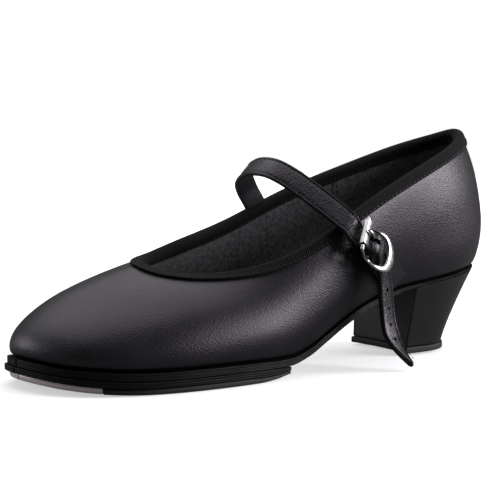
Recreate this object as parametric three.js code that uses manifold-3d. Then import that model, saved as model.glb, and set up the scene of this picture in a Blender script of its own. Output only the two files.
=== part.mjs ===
// A women's character tap shoe for the left foot, standing with its strap buckled.
// Millimetres, +Z up. The toe points along -Y, the outer (buckle) side is +X, and the
// origin is on the ground under the middle of the shoe's bounding box.
import * as THREE from 'three';
import { mergeVertices } from 'three/addons/utils/BufferGeometryUtils.js';
import Module from 'manifold-3d';

const manifold = await Module();
manifold.setup();

// ---------------------------------------------------------------- driving dimensions
const gap = 0.3; // clearance between neighbouring pieces
const soleGap = 0.45; // the same over the curved sole, whose facets stand off its curve
const upperThickness = 1.1;
const stiffenerThickness = 0.8; // toe puff, heel counter and strap anchor
const liningThickness = 0.8;
const bindingThickness = 0.7;
const bindingWidth = 4.6;
const bindingGap = 0.45; // the tape's flat legs stand off the curved wall a little more
const lastingMargin = 10; // how far the upper is turned in under the foot
const insoleBoardThickness = 1.6;
const foamThickness = 1.6;
const sockThickness = 0.6;
const heelTapThickness = 2.2;
const topPieceThickness = 2.8;
const heelTapStandsProud = 0.9; // the heel tap is let into the top piece by the rest
const strapWidth = 10.6;
const strapLeather = 0.95;
const strapBacking = 0.8;
const tabThickness = 2.0;
const barRadius = 1.0; // the bar that the buckle and prong turn on
const screwRadius = 1.1;
const nailRadius = 0.8;

// Layers of the wall, as distances outward from the upper's outer face.
const stiffenerFace = -upperThickness - gap;
const liningFace = stiffenerFace - stiffenerThickness - gap;
const liningBack = liningFace - liningThickness;

// ---------------------------------------------------------------- materials
const finish = (color, roughness, metalness = 0) =>
  new THREE.MeshStandardMaterial({ color, roughness, metalness });
const leather = finish(0x232225, 0.5);
const strapLeatherFinish = finish(0x29282c, 0.48);
const textile = finish(0x2b2b2e, 0.95);
const bindingTape = finish(0x141416, 0.85);
const fibreboard = finish(0x6d5b47, 0.9);
const soleBlack = finish(0x1a1a1b, 0.7);
const rubber = finish(0x161617, 0.8);
const lacquer = finish(0x252528, 0.35);
const cork = finish(0x9a7650, 0.95);
const foam = finish(0x8e8c86, 0.95);
const steel = finish(0x8b8d91, 0.4, 1);
const aluminium = finish(0xcfc4c0, 0.35, 1);
const nickel = finish(0xe2e2e2, 0.15, 1);

// ---------------------------------------------------------------- curves along the shoe
// Each pair is a distance along the shoe and a height there.
const soleTopCurve = [
  [-122, 12.8], [-112, 10.9], [-100, 9.8], [-88, 9.1], [-75, 8.9], [-50, 8.9], [-30, 8.7],
  [-20, 8.4], [-12, 8.5], [0, 11.0], [12, 16.0], [24, 21.5], [36, 26.4], [48, 30.1],
  [58, 32.3], [67, 33.6], [80, 35.0], [100, 37.4], [114, 39.0],
];
const outsoleThicknessCurve = [[-122, 3.2], [20, 3.0], [50, 2.4], [66, 1.6], [80, 1.0], [114, 1.0]];
const treadCurve = [
  [-122, 4.0], [-111, 2.0], [-100, 0.8], [-88, 0.15], [-80, 0], [-30, 0], [-20, 0.7], [-12, 2.0],
];
const treadThicknessCurve = [[-122, 2.5], [-40, 2.5], [-12, 1.2]]; // tap in front, pad behind
const ledgeCurve = [[-122, 2.0], [-20, 1.9], [10, 0.9], [114, 0.6]]; // sole edge beyond the upper
const boardLipCurve = [[-122, 1.2], [-100, 1.0], [-60, 0.2], [-10, 0.1]];

/** Height of a smooth curve through the pairs, flat-sloped beyond its ends. */
function along(curve, y) {
  const last = curve.length - 1;
  if (y <= curve[0][0]) return curve[0][1];
  if (y >= curve[last][0]) return curve[last][1];
  let i = 0;
  while (y > curve[i + 1][0]) i += 1;
  const slope = (a, b) => (curve[b][1] - curve[a][1]) / (curve[b][0] - curve[a][0]);
  const here = slope(i, i + 1);
  const before = i > 0 ? slope(i - 1, i) : here;
  const after = i < last - 1 ? slope(i + 1, i + 2) : here;
  const startSlope = before * here > 0 ? (2 * before * here) / (before + here) : 0;
  const endSlope = here * after > 0 ? (2 * here * after) / (here + after) : 0;
  const span = curve[i + 1][0] - curve[i][0];
  const t = (y - curve[i][0]) / span;
  const h00 = 2 * t ** 3 - 3 * t ** 2 + 1;
  const h10 = t ** 3 - 2 * t ** 2 + t;
  return h00 * curve[i][1] + h10 * span * startSlope
    + (1 - h00) * curve[i + 1][1] + (t ** 3 - t ** 2) * span * endSlope;
}
const soleTop = (y) => along(soleTopCurve, y);
const outsoleUnderside = (y) => soleTop(y) - along(outsoleThicknessCurve, y);
const tread = (y) => along(treadCurve, y);
const treadTop = (y) => tread(y) + along(treadThicknessCurve, y);
const ledge = (y) => along(ledgeCurve, y);

// ---------------------------------------------------------------- the wall of the upper
// Ribs stand round the shoe from the back seam along the outer side to the toe, and back
// along the inner side. Each is a curve from the feather line (foot) through two handles
// to the top line (rim). The foot's height is the sole's.
const ribs = [
  { foot: [0.5, 113.8], low: [0.5, 121, 51], high: [0.2, 123.2, 76], rim: [0, 110.6, 101.6] }, // back
  { foot: [15.2, 108.6], low: [19.4, 115, 50], high: [16.6, 113.6, 78], rim: [11, 104.8, 98.8] },
  { foot: [24.2, 88], low: [29.8, 90.5, 48], high: [27.6, 89, 74], rim: [21.6, 86.5, 92.9] },
  { foot: [25.6, 60], low: [31.5, 61, 46], high: [33.4, 59, 66], rim: [28.8, 58, 83.2] },
  { foot: [27, 33], low: [35, 33, 38], high: [36.4, 31, 56], rim: [31.6, 30, 70.8] },
  { foot: [32.5, 5], low: [41, 5, 24], high: [39.4, 4.5, 41], rim: [31.4, 4, 57] },
  { foot: [38.2, -24], low: [46, -24, 20], high: [38.8, -22.5, 35.5], rim: [25.6, -21, 48] },
  { foot: [39.6, -53], low: [46.4, -54, 21], high: [33.6, -49, 38.5], rim: [15.8, -44.5, 44.8] },
  { foot: [35.2, -82.5], low: [41.2, -85.5, 21], high: [24.5, -70.5, 40], rim: [6.4, -55.4, 45.6] },
  { foot: [19.4, -109], low: [23.2, -115.6, 23], high: [9.5, -86, 40.5], rim: [-0.3, -58.6, 47.2] },
  { foot: [-7.3, -119.6], low: [-8.3, -125.8, 24.4], high: [-7, -96.6, 41.5], rim: [-5, -59.6, 48.4] }, // toe
  { foot: [-27.6, -110.6], low: [-31.6, -116.4, 25], high: [-21, -89.6, 43], rim: [-9.6, -58.6, 48.8] },
  { foot: [-36.8, -86.5], low: [-42, -90, 25], high: [-31.5, -71.5, 44.5], rim: [-15.4, -54.4, 49.6] },
  { foot: [-39.4, -57.5], low: [-46, -58.5, 24], high: [-37.4, -50, 45], rim: [-21.6, -45, 51] },
  { foot: [-36, -29], low: [-43, -29, 25], high: [-39.4, -26, 44], rim: [-28.2, -24, 55.6] },
  { foot: [-26.5, 0], low: [-36, 0, 28], high: [-38.2, 1, 47], rim: [-31.6, 2, 62.6] },
  { foot: [-21.4, 32], low: [-29.5, 33, 40], high: [-36, 31, 59], rim: [-32, 30, 73.2] },
  { foot: [-21.6, 60], low: [-28.5, 61, 46], high: [-32, 59, 67], rim: [-28.8, 58, 82.6] },
  { foot: [-20.8, 88], low: [-26.8, 90.5, 48], high: [-26, 89, 75], rim: [-20.6, 87.5, 92.8] },
  { foot: [-13.6, 108.6], low: [-18.2, 114.6, 50], high: [-16, 113.6, 78], rim: [-10.6, 105, 98.7] },
];
const ribCount = ribs.length;
const stationStep = 1 / 3; // every layer of the wall is divided at the same places
const riseStep = 1 / 9;

const closedCurve = (points) =>
  new THREE.CatmullRomCurve3(points.map((p) => new THREE.Vector3(...p)), true, 'catmullrom', 0.5);
const footLine = closedCurve(ribs.map((rib) => [...rib.foot, 0]));
const lowLine = closedCurve(ribs.map((rib) => rib.low));
const highLine = closedCurve(ribs.map((rib) => rib.high));
const rimLine = closedCurve(ribs.map((rib) => rib.rim));
const turn = (station) => (((station / ribCount) % 1) + 1) % 1;

/** A point of the wall: station counts ribs, rise goes from 0 at the foot to 1 at the rim. */
function wallPoint(station, rise) {
  const t = turn(station);
  const foot = footLine.getPoint(t);
  foot.z = soleTop(foot.y) + soleGap;
  const curve = new THREE.CubicBezierCurve3(
    foot, lowLine.getPoint(t), highLine.getPoint(t), rimLine.getPoint(t));
  return curve.getPoint(rise);
}

/** The wall's directions at a point: along the shoe's outline, up the rib, and outward. */
function wallDirections(station, rise) {
  const step = 0.01;
  const low = Math.min(rise, 1 - step);
  const up = wallPoint(station, low + step).sub(wallPoint(station, low)).divideScalar(step);
  const round = wallPoint(station + step, rise).sub(wallPoint(station - step, rise));
  round.divideScalar(2 * step);
  const out = new THREE.Vector3().crossVectors(up, round).normalize();
  return { up, round, out };
}

/** A point off the wall, out millimetres outward from the upper's outer face. */
function offWall(station, rise, out) {
  return wallPoint(station, rise).addScaledVector(wallDirections(station, rise).out, out);
}

/** The place on the wall nearest to a point, as [station, rise]. */
function nearestOnWall(point, station, rise) {
  for (let turnCount = 0; turnCount < 12; turnCount += 1) {
    const { up, round } = wallDirections(station, rise);
    const miss = point.clone().sub(wallPoint(station, rise));
    const uu = up.dot(up);
    const rr = round.dot(round);
    const ur = up.dot(round);
    const det = uu * rr - ur * ur;
    station += (miss.dot(round) * uu - miss.dot(up) * ur) / det;
    rise += (miss.dot(up) * rr - miss.dot(round) * ur) / det;
  }
  return [station, rise];
}

// ---------------------------------------------------------------- solids
/** A closed solid through rings of points, each ring wound the same way. */
function loft(rings, closed = false) {
  const size = rings[0].length;
  const vertices = rings.flat().flatMap((p) => [p.x, p.y, p.z]);
  const faces = [];
  const bands = closed ? rings.length : rings.length - 1;
  for (let r = 0; r < bands; r += 1) {
    const a = r * size;
    const b = ((r + 1) % rings.length) * size;
    for (let k = 0; k < size; k += 1) {
      const next = (k + 1) % size;
      faces.push(a + k, a + next, b + next, a + k, b + next, b + k);
    }
  }
  if (!closed) {
    // A ring is symmetric: point k faces point size - 1 - k across it.
    const end = (rings.length - 1) * size;
    for (let k = 0; k < size / 2 - 1; k += 1) {
      const l = size - 1 - k;
      faces.push(k, l, l - 1, k, l - 1, k + 1);
      faces.push(end + k, end + l - 1, end + l, end + k, end + k + 1, end + l - 1);
    }
  }
  return outward(vertices, faces);
}

/** A geometry from vertices and faces, turned so that its faces point out. */
function outward(vertices, faces) {
  let volume = 0;
  const at = (i) => new THREE.Vector3(...vertices.slice(3 * i, 3 * i + 3));
  for (let f = 0; f < faces.length; f += 3) {
    volume += at(faces[f]).dot(at(faces[f + 1]).cross(at(faces[f + 2])));
  }
  if (volume < 0) {
    for (let f = 0; f < faces.length; f += 3) {
      [faces[f], faces[f + 1]] = [faces[f + 1], faces[f]];
    }
  }
  const geometry = new THREE.BufferGeometry();
  geometry.setAttribute('position', new THREE.Float32BufferAttribute(vertices, 3));
  geometry.setIndex(faces);
  geometry.computeVertexNormals();
  return geometry;
}

function toSolid(geometry) {
  const bare = geometry.clone();
  bare.deleteAttribute('normal');
  bare.deleteAttribute('uv');
  const merged = mergeVertices(bare, 1e-4);
  return new manifold.Manifold(new manifold.Mesh({
    numProp: 3,
    vertProperties: new Float32Array(merged.attributes.position.array),
    triVerts: new Uint32Array(merged.index.array),
  }));
}

function toGeometry(solid) {
  const mesh = solid.getMesh();
  return outward(Array.from(mesh.vertProperties), Array.from(mesh.triVerts));
}

const cut = (geometry, ...tools) =>
  toGeometry(tools.reduce((solid, tool) => solid.subtract(toSolid(tool)), toSolid(geometry)));
const join = (geometry, ...others) =>
  toGeometry(others.reduce((solid, other) => solid.add(toSolid(other)), toSolid(geometry)));
const common = (geometry, tool) => toGeometry(toSolid(geometry).intersect(toSolid(tool)));

/** An upright round bar from one height to another. */
function post(x, y, bottom, top, radius, sides = 10) {
  return new THREE.CylinderGeometry(radius, radius, top - bottom, sides)
    .rotateX(Math.PI / 2).translate(x, y, (bottom + top) / 2);
}

/** A box between two corners. */
function block(low, high) {
  const size = high.map((value, i) => value - low[i]);
  return new THREE.BoxGeometry(...size).translate(...low.map((value, i) => value + size[i] / 2));
}

/** The two ends of a span and every whole step between them. */
function divide(from, to, step) {
  const places = [from];
  for (let k = Math.ceil(from / step + 0.2); k * step < to - 0.2 * step; k += 1) places.push(k * step);
  return [...places, to];
}

/** A layer of the wall between two stations, or all round it. */
function wallLayer({ from = 0, to = ribCount, low, high = 1, outer, thickness }) {
  const closed = to - from >= ribCount;
  const stations = divide(from, to, stationStep);
  if (closed) stations.pop();
  const rises = divide(low, high, riseStep);
  return loft(stations.map((station) => [
    ...rises.map((rise) => offWall(station, rise, outer)),
    ...rises.map((rise) => offWall(station, rise, outer - thickness)).reverse(),
  ]), closed);
}

/** A point beside the feather line, moved out in plan by outset, at the height there. */
function besideFoot(station, outset, heightAt) {
  const foot = footLine.getPoint(turn(station));
  const side = footLine.getPoint(turn(station + 0.02)).sub(footLine.getPoint(turn(station - 0.02)));
  side.normalize();
  const distance = typeof outset === 'function' ? outset(foot.y) : outset;
  const y = foot.y + side.x * distance;
  return new THREE.Vector3(foot.x - side.y * distance, y, heightAt(y));
}

/** A flat-lying piece shaped like the sole, grown past the feather line by outset. */
function solePlate(bottomAt, topAt, outset, samples = 68) {
  const stations = Array.from({ length: samples }, (_, k) => ((k + 0.5) / samples) * ribCount);
  const level = (heightAt) => stations.map((station) => besideFoot(station, outset, heightAt));
  return loft([level(bottomAt), level(topAt)]);
}

const group = new THREE.Group();
function add(name, geometry, material, parent = group) {
  const mesh = new THREE.Mesh(geometry, material);
  mesh.name = name;
  parent.add(mesh);
  return mesh;
}

// ---------------------------------------------------------------- upper
const marginBottom = (y) => soleTop(y) + soleGap;
const marginTop = (y) => marginBottom(y) + upperThickness;
const liningFoot = 0.06; // the rise where the lining starts, above the turned-in margin

/** The upper's section: up its face, down its back, and in under the foot. */
function upperRing(station) {
  return [
    ...divide(0, 1, riseStep).map((rise) => offWall(station, rise, 0)),
    ...divide(liningFoot, 1, riseStep).reverse().map((rise) =>
      offWall(station, rise, -upperThickness)),
    besideFoot(station, -2.2, marginTop),
    besideFoot(station, -lastingMargin, marginTop),
    besideFoot(station, -lastingMargin, marginBottom),
  ];
}
const allStations = divide(0, ribCount, stationStep).slice(0, -1);
add('upper', loft(allStations.map(upperRing), true), leather);

const liningSeams = [3, 17]; // where the vamp lining meets the heel grip
const seamGap = 0.02;
add('vamp_lining', wallLayer({
  from: liningSeams[0] + seamGap, to: liningSeams[1] - seamGap, low: liningFoot,
  outer: liningFace, thickness: liningThickness,
}), textile);
add('heel_grip', wallLayer({
  from: liningSeams[1], to: ribCount + liningSeams[0], low: liningFoot,
  outer: liningFace, thickness: liningThickness,
}), textile);
add('toe_puff', wallLayer({
  from: 23 / 3, to: 37 / 3, low: 0.05, high: 5 / 9, outer: stiffenerFace,
  thickness: stiffenerThickness,
}), fibreboard);
add('heel_counter', wallLayer({
  from: -10 / 3, to: 10 / 3, low: 0.05, high: 6 / 9, outer: stiffenerFace,
  thickness: stiffenerThickness,
}), fibreboard);

/** The folded tape over the top line: outside leg, top and inside leg. */
function bindingRing(station) {
  const rim = wallPoint(station, 1);
  const { up, out } = wallDirections(station, 1);
  const rise = up.clone().normalize();
  const at = (outBy, below) => {
    if (below <= 0) return rim.clone().addScaledVector(out, outBy).addScaledVector(rise, -below);
    return offWall(station, 1 - below / up.length(), outBy);
  };
  const outsideFace = bindingGap + bindingThickness;
  const insideFace = liningBack - bindingGap;
  return [
    at(outsideFace, bindingWidth), at(outsideFace, 0.2), at(-0.6, -bindingGap - bindingThickness),
    at(insideFace + 0.6, -bindingGap - bindingThickness), at(insideFace - bindingThickness, 0.2),
    at(insideFace - bindingThickness, bindingWidth), at(insideFace, bindingWidth),
    at(insideFace, -bindingGap), at(bindingGap, -bindingGap), at(bindingGap, bindingWidth),
  ];
}
add('topline_binding', loft(allStations.map(bindingRing), true), bindingTape);

// ---------------------------------------------------------------- bottom, inside
const boardBottom = (y) => marginTop(y) + soleGap;
const boardTop = (y) => boardBottom(y) + insoleBoardThickness;
const foamTop = (y) => boardTop(y) + gap + foamThickness;
const innerInset = -4.3;
const fillerEnd = -22;
const shankSpan = [-16, 96];
const shankHalfWidth = 5.5;
const shankThickness = 0.8;
const rivetPlaces = [-8, 62];
const heelScrewPlace = [0.8, 88];
const nailPlaces = [[11, 77], [7.2, 97], [-5.8, 97], [-9.6, 77]];
const holes = (places, radius) => places.map(([x, y]) => post(x, y, -10, 120, radius + gap));

const insoleBoard = solePlate(boardBottom, boardTop, innerInset);
const boardFittings = [
  ...holes(nailPlaces, nailRadius),
  ...holes([heelScrewPlace], screwRadius + 0.6),
  ...holes(rivetPlaces.map((y) => [0, y]), 1.5),
];
add('insole_board', cut(insoleBoard, ...boardFittings), fibreboard);
add('foam_insole', solePlate((y) => boardTop(y) + gap, foamTop, innerInset), foam);
add('sock_lining', solePlate(
  (y) => foamTop(y) + gap, (y) => foamTop(y) + gap + sockThickness, innerInset), textile);

const fillerPlate = solePlate(marginBottom, marginTop, -lastingMargin - 0.6);
add('bottom_filler', cut(fillerPlate, block([-60, fillerEnd, 0], [60, 130, 60])), cork);

const shankSteps = 18;
const shankRings = Array.from({ length: shankSteps + 1 }, (_, k) => {
  const y = shankSpan[0] + ((shankSpan[1] - shankSpan[0]) * k) / shankSteps;
  const bottom = marginBottom(y) + 0.1;
  const corner = (x, z) => new THREE.Vector3(x, y, z);
  return [corner(-shankHalfWidth, bottom), corner(shankHalfWidth, bottom),
    corner(shankHalfWidth, bottom + shankThickness), corner(-shankHalfWidth, bottom + shankThickness)];
});
add('shank', cut(
  loft(shankRings),
  ...holes([heelScrewPlace], screwRadius + 0.6),
  ...holes(rivetPlaces.map((y) => [0, y]), 1.5),
), steel);
rivetPlaces.forEach((y, i) => {
  add(`shank_rivet_${i + 1}`, post(0, y, marginBottom(y) + 0.3, boardTop(y) - 0.1, 1.5), steel);
});

// ---------------------------------------------------------------- bottom, outside
const forepartEnd = -12;
const behindForepart = block([-60, forepartEnd, -10], [60, 130, 60]);
const tapScrewPlaces = [[-8, -110], [14, -100], [-27, -99]];
const tapHoles = holes(tapScrewPlaces, screwRadius);
const tapSweep = { middle: [-5, -162], radius: 70 }; // the circle of the tap's rear edge

/** An upright disc that reaches through the sole, to shape the tap's rear edge. */
function tapDisc(radius) {
  return post(...tapSweep.middle, -20, 40, radius, 96);
}

const outsole = solePlate(outsoleUnderside, soleTop, ledge);
add('outsole', cut(
  outsole, ...holes(nailPlaces, nailRadius), ...holes([heelScrewPlace], screwRadius),
  ...tapScrewPlaces.map(([x, y]) => post(x, y, -10, soleTop(y) - 1, screwRadius + gap)),
), soleBlack);

const tapBoard = solePlate(
  (y) => treadTop(y) + gap, (y) => outsoleUnderside(y) - gap,
  (y) => ledge(y) + along(boardLipCurve, y));
add('tap_board', cut(tapBoard, behindForepart, ...tapHoles), soleBlack);
const tapPlate = solePlate(tread, treadTop, (y) => ledge(y) - 1.4);
add('toe_tap', cut(common(tapPlate, tapDisc(tapSweep.radius)), ...tapHoles), aluminium);
const padPlate = solePlate(tread, treadTop, (y) => ledge(y) - 0.3);
add('rubber_pad', cut(padPlate, behindForepart, tapDisc(tapSweep.radius + gap)), rubber);

/** A countersunk wood screw standing head down, its head's face at the given height. */
function screw(x, y, bottom, length) {
  const profile = [[0, 0], [1.9, 0], [screwRadius, 0.9], [screwRadius, length - 1.6], [0, length]];
  return new THREE.LatheGeometry(profile.map((p) => new THREE.Vector2(...p)), 10)
    .rotateX(Math.PI / 2).translate(x, y, bottom);
}
const headSinks = (places, bottomAt) => places.map(([x, y]) =>
  post(x, y, bottomAt(y) - 3, bottomAt(y) + 1.25, 2.3));

// ---------------------------------------------------------------- heel
const heelBottom = { half: 20.4, middle: 0.1, breast: 65.6, widest: 76, back: 96.6 };
const heelTop = { half: 24.2, middle: 1.4, breast: 67.2, widest: 80, back: 114.6 };
const heelTapInset = -3.2;
const heelScoop = 1.6; // how hollow the breast is across its middle
const topPieceBottom = heelTapStandsProud;
const blockBottom = topPieceBottom + topPieceThickness + gap;

/** The heel's outline at a level from 0 at the ground to 1 at the seat, grown by outset. */
function heelOutline(level, outset = 0) {
  const mix = (key, power = 1) =>
    heelBottom[key] + (heelTop[key] - heelBottom[key]) * level ** power;
  const half = mix('half', 1.4) + outset;
  const back = mix('back', 1.25) + outset;
  const breast = mix('breast') - outset;
  const widest = mix('widest');
  const quarter = [0.15, 0.45, 0.75, 1].map((x) =>
    [half * x, breast + heelScoop * (1 - x * x)]);
  for (let k = 0; k <= 9; k += 1) {
    const angle = (k / 10 + 0.03) * (Math.PI / 2);
    quarter.push([half * Math.cos(angle) ** 0.95, widest + (back - widest) * Math.sin(angle) ** 0.95]);
  }
  const outer = quarter.map(([x, y]) => [mix('middle') + x, y]);
  const inner = quarter.map(([x, y]) => [mix('middle') - x, y]).reverse();
  return [...outer, ...inner];
}
function heelSlab(bottom, top, outset) {
  const ring = (z) => heelOutline(0, outset).map(([x, y]) => new THREE.Vector3(x, y, z));
  return loft([ring(bottom), ring(top)]);
}
const blockRings = Array.from({ length: 8 }, (_, k) => {
  const level = k / 7;
  return heelOutline(level).map(([x, y]) => {
    const seat = outsoleUnderside(y) - gap;
    return new THREE.Vector3(x, y, blockBottom + (seat - blockBottom) * level);
  });
});
const heelScrewBottom = 16;
const heelTapScrewPlaces = [[0.1, 89], [-11, 72.5], [11, 72.5]];
const heelTapScrewLength = 10;
const heelTapHoles = heelTapScrewPlaces.map(([x, y]) =>
  post(x, y, -5, heelTapScrewLength + 1, screwRadius + gap));
const nailLength = 15;
add('heel_block', cut(
  loft(blockRings), ...heelTapHoles,
  post(...heelScrewPlace, heelScrewBottom - 1, 60, screwRadius + gap),
  ...nailPlaces.map(([x, y]) =>
    post(x, y, boardTop(y) - nailLength - 1, 60, nailRadius + gap)),
), lacquer);
const tapPocket = heelSlab(-1, heelTapThickness + gap, heelTapInset + gap);
add('heel_top_piece', cut(
  heelSlab(topPieceBottom, topPieceBottom + topPieceThickness, 0.6), tapPocket, ...heelTapHoles), rubber);
add('heel_tap', cut(
  heelSlab(0, heelTapThickness, heelTapInset), ...heelTapHoles,
  ...headSinks(heelTapScrewPlaces, () => 0)), aluminium);
heelTapScrewPlaces.forEach(([x, y], i) => {
  add(`heel_tap_screw_${i + 1}`, screw(x, y, 0.15, heelTapScrewLength), steel);
});
tapScrewPlaces.forEach(([x, y], i) => {
  add(`toe_tap_screw_${i + 1}`, screw(x, y, tread(y) + 0.15, 6.6), steel);
});
const toeTap = group.getObjectByName('toe_tap');
toeTap.geometry = cut(toeTap.geometry, ...headSinks(tapScrewPlaces, tread));

const [screwX, screwY] = heelScrewPlace;
const heelScrewTop = boardTop(screwY) - 0.1;
add('heel_screw', post(screwX, screwY, heelScrewBottom, heelScrewTop, screwRadius), steel);
nailPlaces.forEach(([x, y], i) => {
  const top = boardTop(y) - 0.1;
  add(`heel_nail_${i + 1}`, post(x, y, top - nailLength, top, nailRadius, 8), steel);
});

// ---------------------------------------------------------------- buckle
// The buckle's own frame: x along the strap towards its tip, y towards the strap's rear
// edge, z outward, with the turning bar on the y axis.
const buckle = new THREE.Group();
const buckleAlong = new THREE.Vector3(-0.106, 0.754, -0.647).normalize();
const buckleOut = new THREE.Vector3(0.9, 0.354, 0.265);
const buckleUp = new THREE.Vector3().crossVectors(buckleOut, buckleAlong).normalize();
buckleOut.crossVectors(buckleAlong, buckleUp);
buckle.matrix.makeBasis(buckleAlong, buckleUp, buckleOut).setPosition(39.9, 28.75, 55.5);
buckle.matrix.decompose(buckle.position, buckle.quaternion, buckle.scale);
buckle.updateMatrixWorld();
group.add(buckle);
const fromBuckle = (x, y, z) => new THREE.Vector3(x, y, z).applyMatrix4(buckle.matrixWorld);

const barHalfLength = 6.9;
const frontBar = { x: -8.0, z: 3.0 };
const levelBar = (length, radius, sides = 12) => new THREE.CylinderGeometry(radius, radius, length, sides);

// Half of the frame's outline, from the front bar's end to the middle of the loop: along,
// across, outward, and the half width of the band there.
const frameHalf = [
  [-8.0, 3.6, 3.0, 0.85], [-8.0, 8.3, 3.0, 0.85], [-6.0, 9.0, 2.3, 0.8], [-2.8, 8.6, 0.7, 0.8],
  [0, 8.0, 0.0, 0.9], [2.0, 8.5, 0.6, 0.9], [4.4, 9.0, 1.7, 1.0], [7.4, 8.5, 2.6, 1.15],
  [10.2, 6.8, 2.9, 1.35], [12.2, 3.9, 3.0, 1.6],
];
const framePath = [
  ...frameHalf,
  [12.9, 0, 3.0, 1.75],
  ...frameHalf.map(([x, y, z, half]) => [x, -y, z, half]).reverse(),
];
const bandLine = closedCurve(framePath.map(([x, y, z]) => [x, y, z]));
const bandHalfWidth = closedCurve(framePath.map(([, , , half]) => [half, 0, 0]));
const bandHalfThickness = 0.8;
const frameSteps = 44;
const frameRings = Array.from({ length: frameSteps }, (_, k) => {
  const t = k / frameSteps;
  const middle = bandLine.getPoint(t);
  const side = bandLine.getPoint((t + 0.003) % 1).sub(bandLine.getPoint((t + 0.997) % 1));
  side.cross(new THREE.Vector3(0, 0, 1)).normalize();
  const half = bandHalfWidth.getPoint(t).x;
  return Array.from({ length: 6 }, (_, c) => {
    const angle = ((c + 0.5) / 6) * Math.PI * 2;
    return middle.clone().addScaledVector(side, half * Math.cos(angle))
      .add(new THREE.Vector3(0, 0, bandHalfThickness * Math.sin(angle)));
  });
});
const barHole = levelBar(2 * barHalfLength + 0.6, barRadius + gap);
add('buckle_frame', cut(loft(frameRings, true), barHole), nickel, buckle);
add('buckle_pivot_bar', levelBar(2 * barHalfLength, barRadius), nickel, buckle);

const sleeve = levelBar(13.2, 1.9, 6).translate(frontBar.x, 0, frontBar.z);
const sleeveBore = block(
  [frontBar.x - 1.1, -8, frontBar.z - 1.0], [frontBar.x + 1.1, 8, frontBar.z + 1.0]);
add('buckle_sleeve', cut(sleeve, sleeveBore), nickel, buckle);

const prongHalfWidth = 0.9;
const prongPath = [[0.2, 1.7], [-1.2, 1.8], [-2.4, 3.0], [-4, 4.9], [-6, 5.85], [-8.2, 5.9], [-9.6, 5.3]];
const prongRings = prongPath.map(([x, z]) => {
  const corner = (y, dz) => new THREE.Vector3(x, y, z + dz);
  return [corner(-prongHalfWidth, -0.55), corner(prongHalfWidth, -0.55),
    corner(prongHalfWidth, 0.55), corner(-prongHalfWidth, 0.55)];
});
const prongEye = cut(
  join(levelBar(2 * prongHalfWidth, 2.1, 14), loft(prongRings)),
  levelBar(6, barRadius + gap, 14),
);
add('prong', prongEye, nickel, buckle);

// ---------------------------------------------------------------- tab that holds the buckle
const tabHalfWidth = 5.2;
const tabFoot = new THREE.Vector3(27.6, 52.0, 36.5);
const tabStart = fromBuckle(1.5, 0, -2);
const tabSteps = 14;
const tabOut = gap + 0.2;
const tabLeavesWall = 0.3; // the first part of the tab rises from the wall to the bar
let tabPlace = [4, 0.7];
const tabRings = Array.from({ length: tabSteps + 1 }, (_, k) => {
  const t = k / tabSteps;
  const middle = tabStart.clone().lerp(tabFoot, t);
  tabPlace = nearestOnWall(middle, ...tabPlace);
  const { out } = wallDirections(...tabPlace);
  const run = tabFoot.clone().sub(tabStart);
  const across = new THREE.Vector3().crossVectors(out, run).normalize();
  const half = tabHalfWidth + 1.3 * t;
  const onWall = THREE.MathUtils.smoothstep(t, 0, tabLeavesWall);
  const columns = [-1, -0.33, 0.33, 1].map((side) => {
    const place = nearestOnWall(middle.clone().addScaledVector(across, side * half), ...tabPlace);
    const underBar = (z) => fromBuckle(1.5 + t * run.length(), side * half, z);
    return [
      underBar(-2.3).lerp(offWall(...place, tabOut), onWall),
      underBar(-2.3 + tabThickness).lerp(offWall(...place, tabOut + tabThickness), onWall),
    ];
  });
  return [...columns.map((c) => c[0]), ...columns.map((c) => c[1]).reverse()];
});
const tabLoop = cut(levelBar(2 * tabHalfWidth, 2.3, 16), levelBar(20, barRadius + gap, 16));
tabLoop.applyMatrix4(buckle.matrixWorld);
const prongSlot = block([-3, -1.5, -4], [2.7, 1.5, 4]).applyMatrix4(buckle.matrixWorld);
const loopClearance = levelBar(20, barRadius + gap, 16).applyMatrix4(buckle.matrixWorld);
add('buckle_tab', cut(join(tabLoop, loft(tabRings)), loopClearance, prongSlot), leather);

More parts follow.
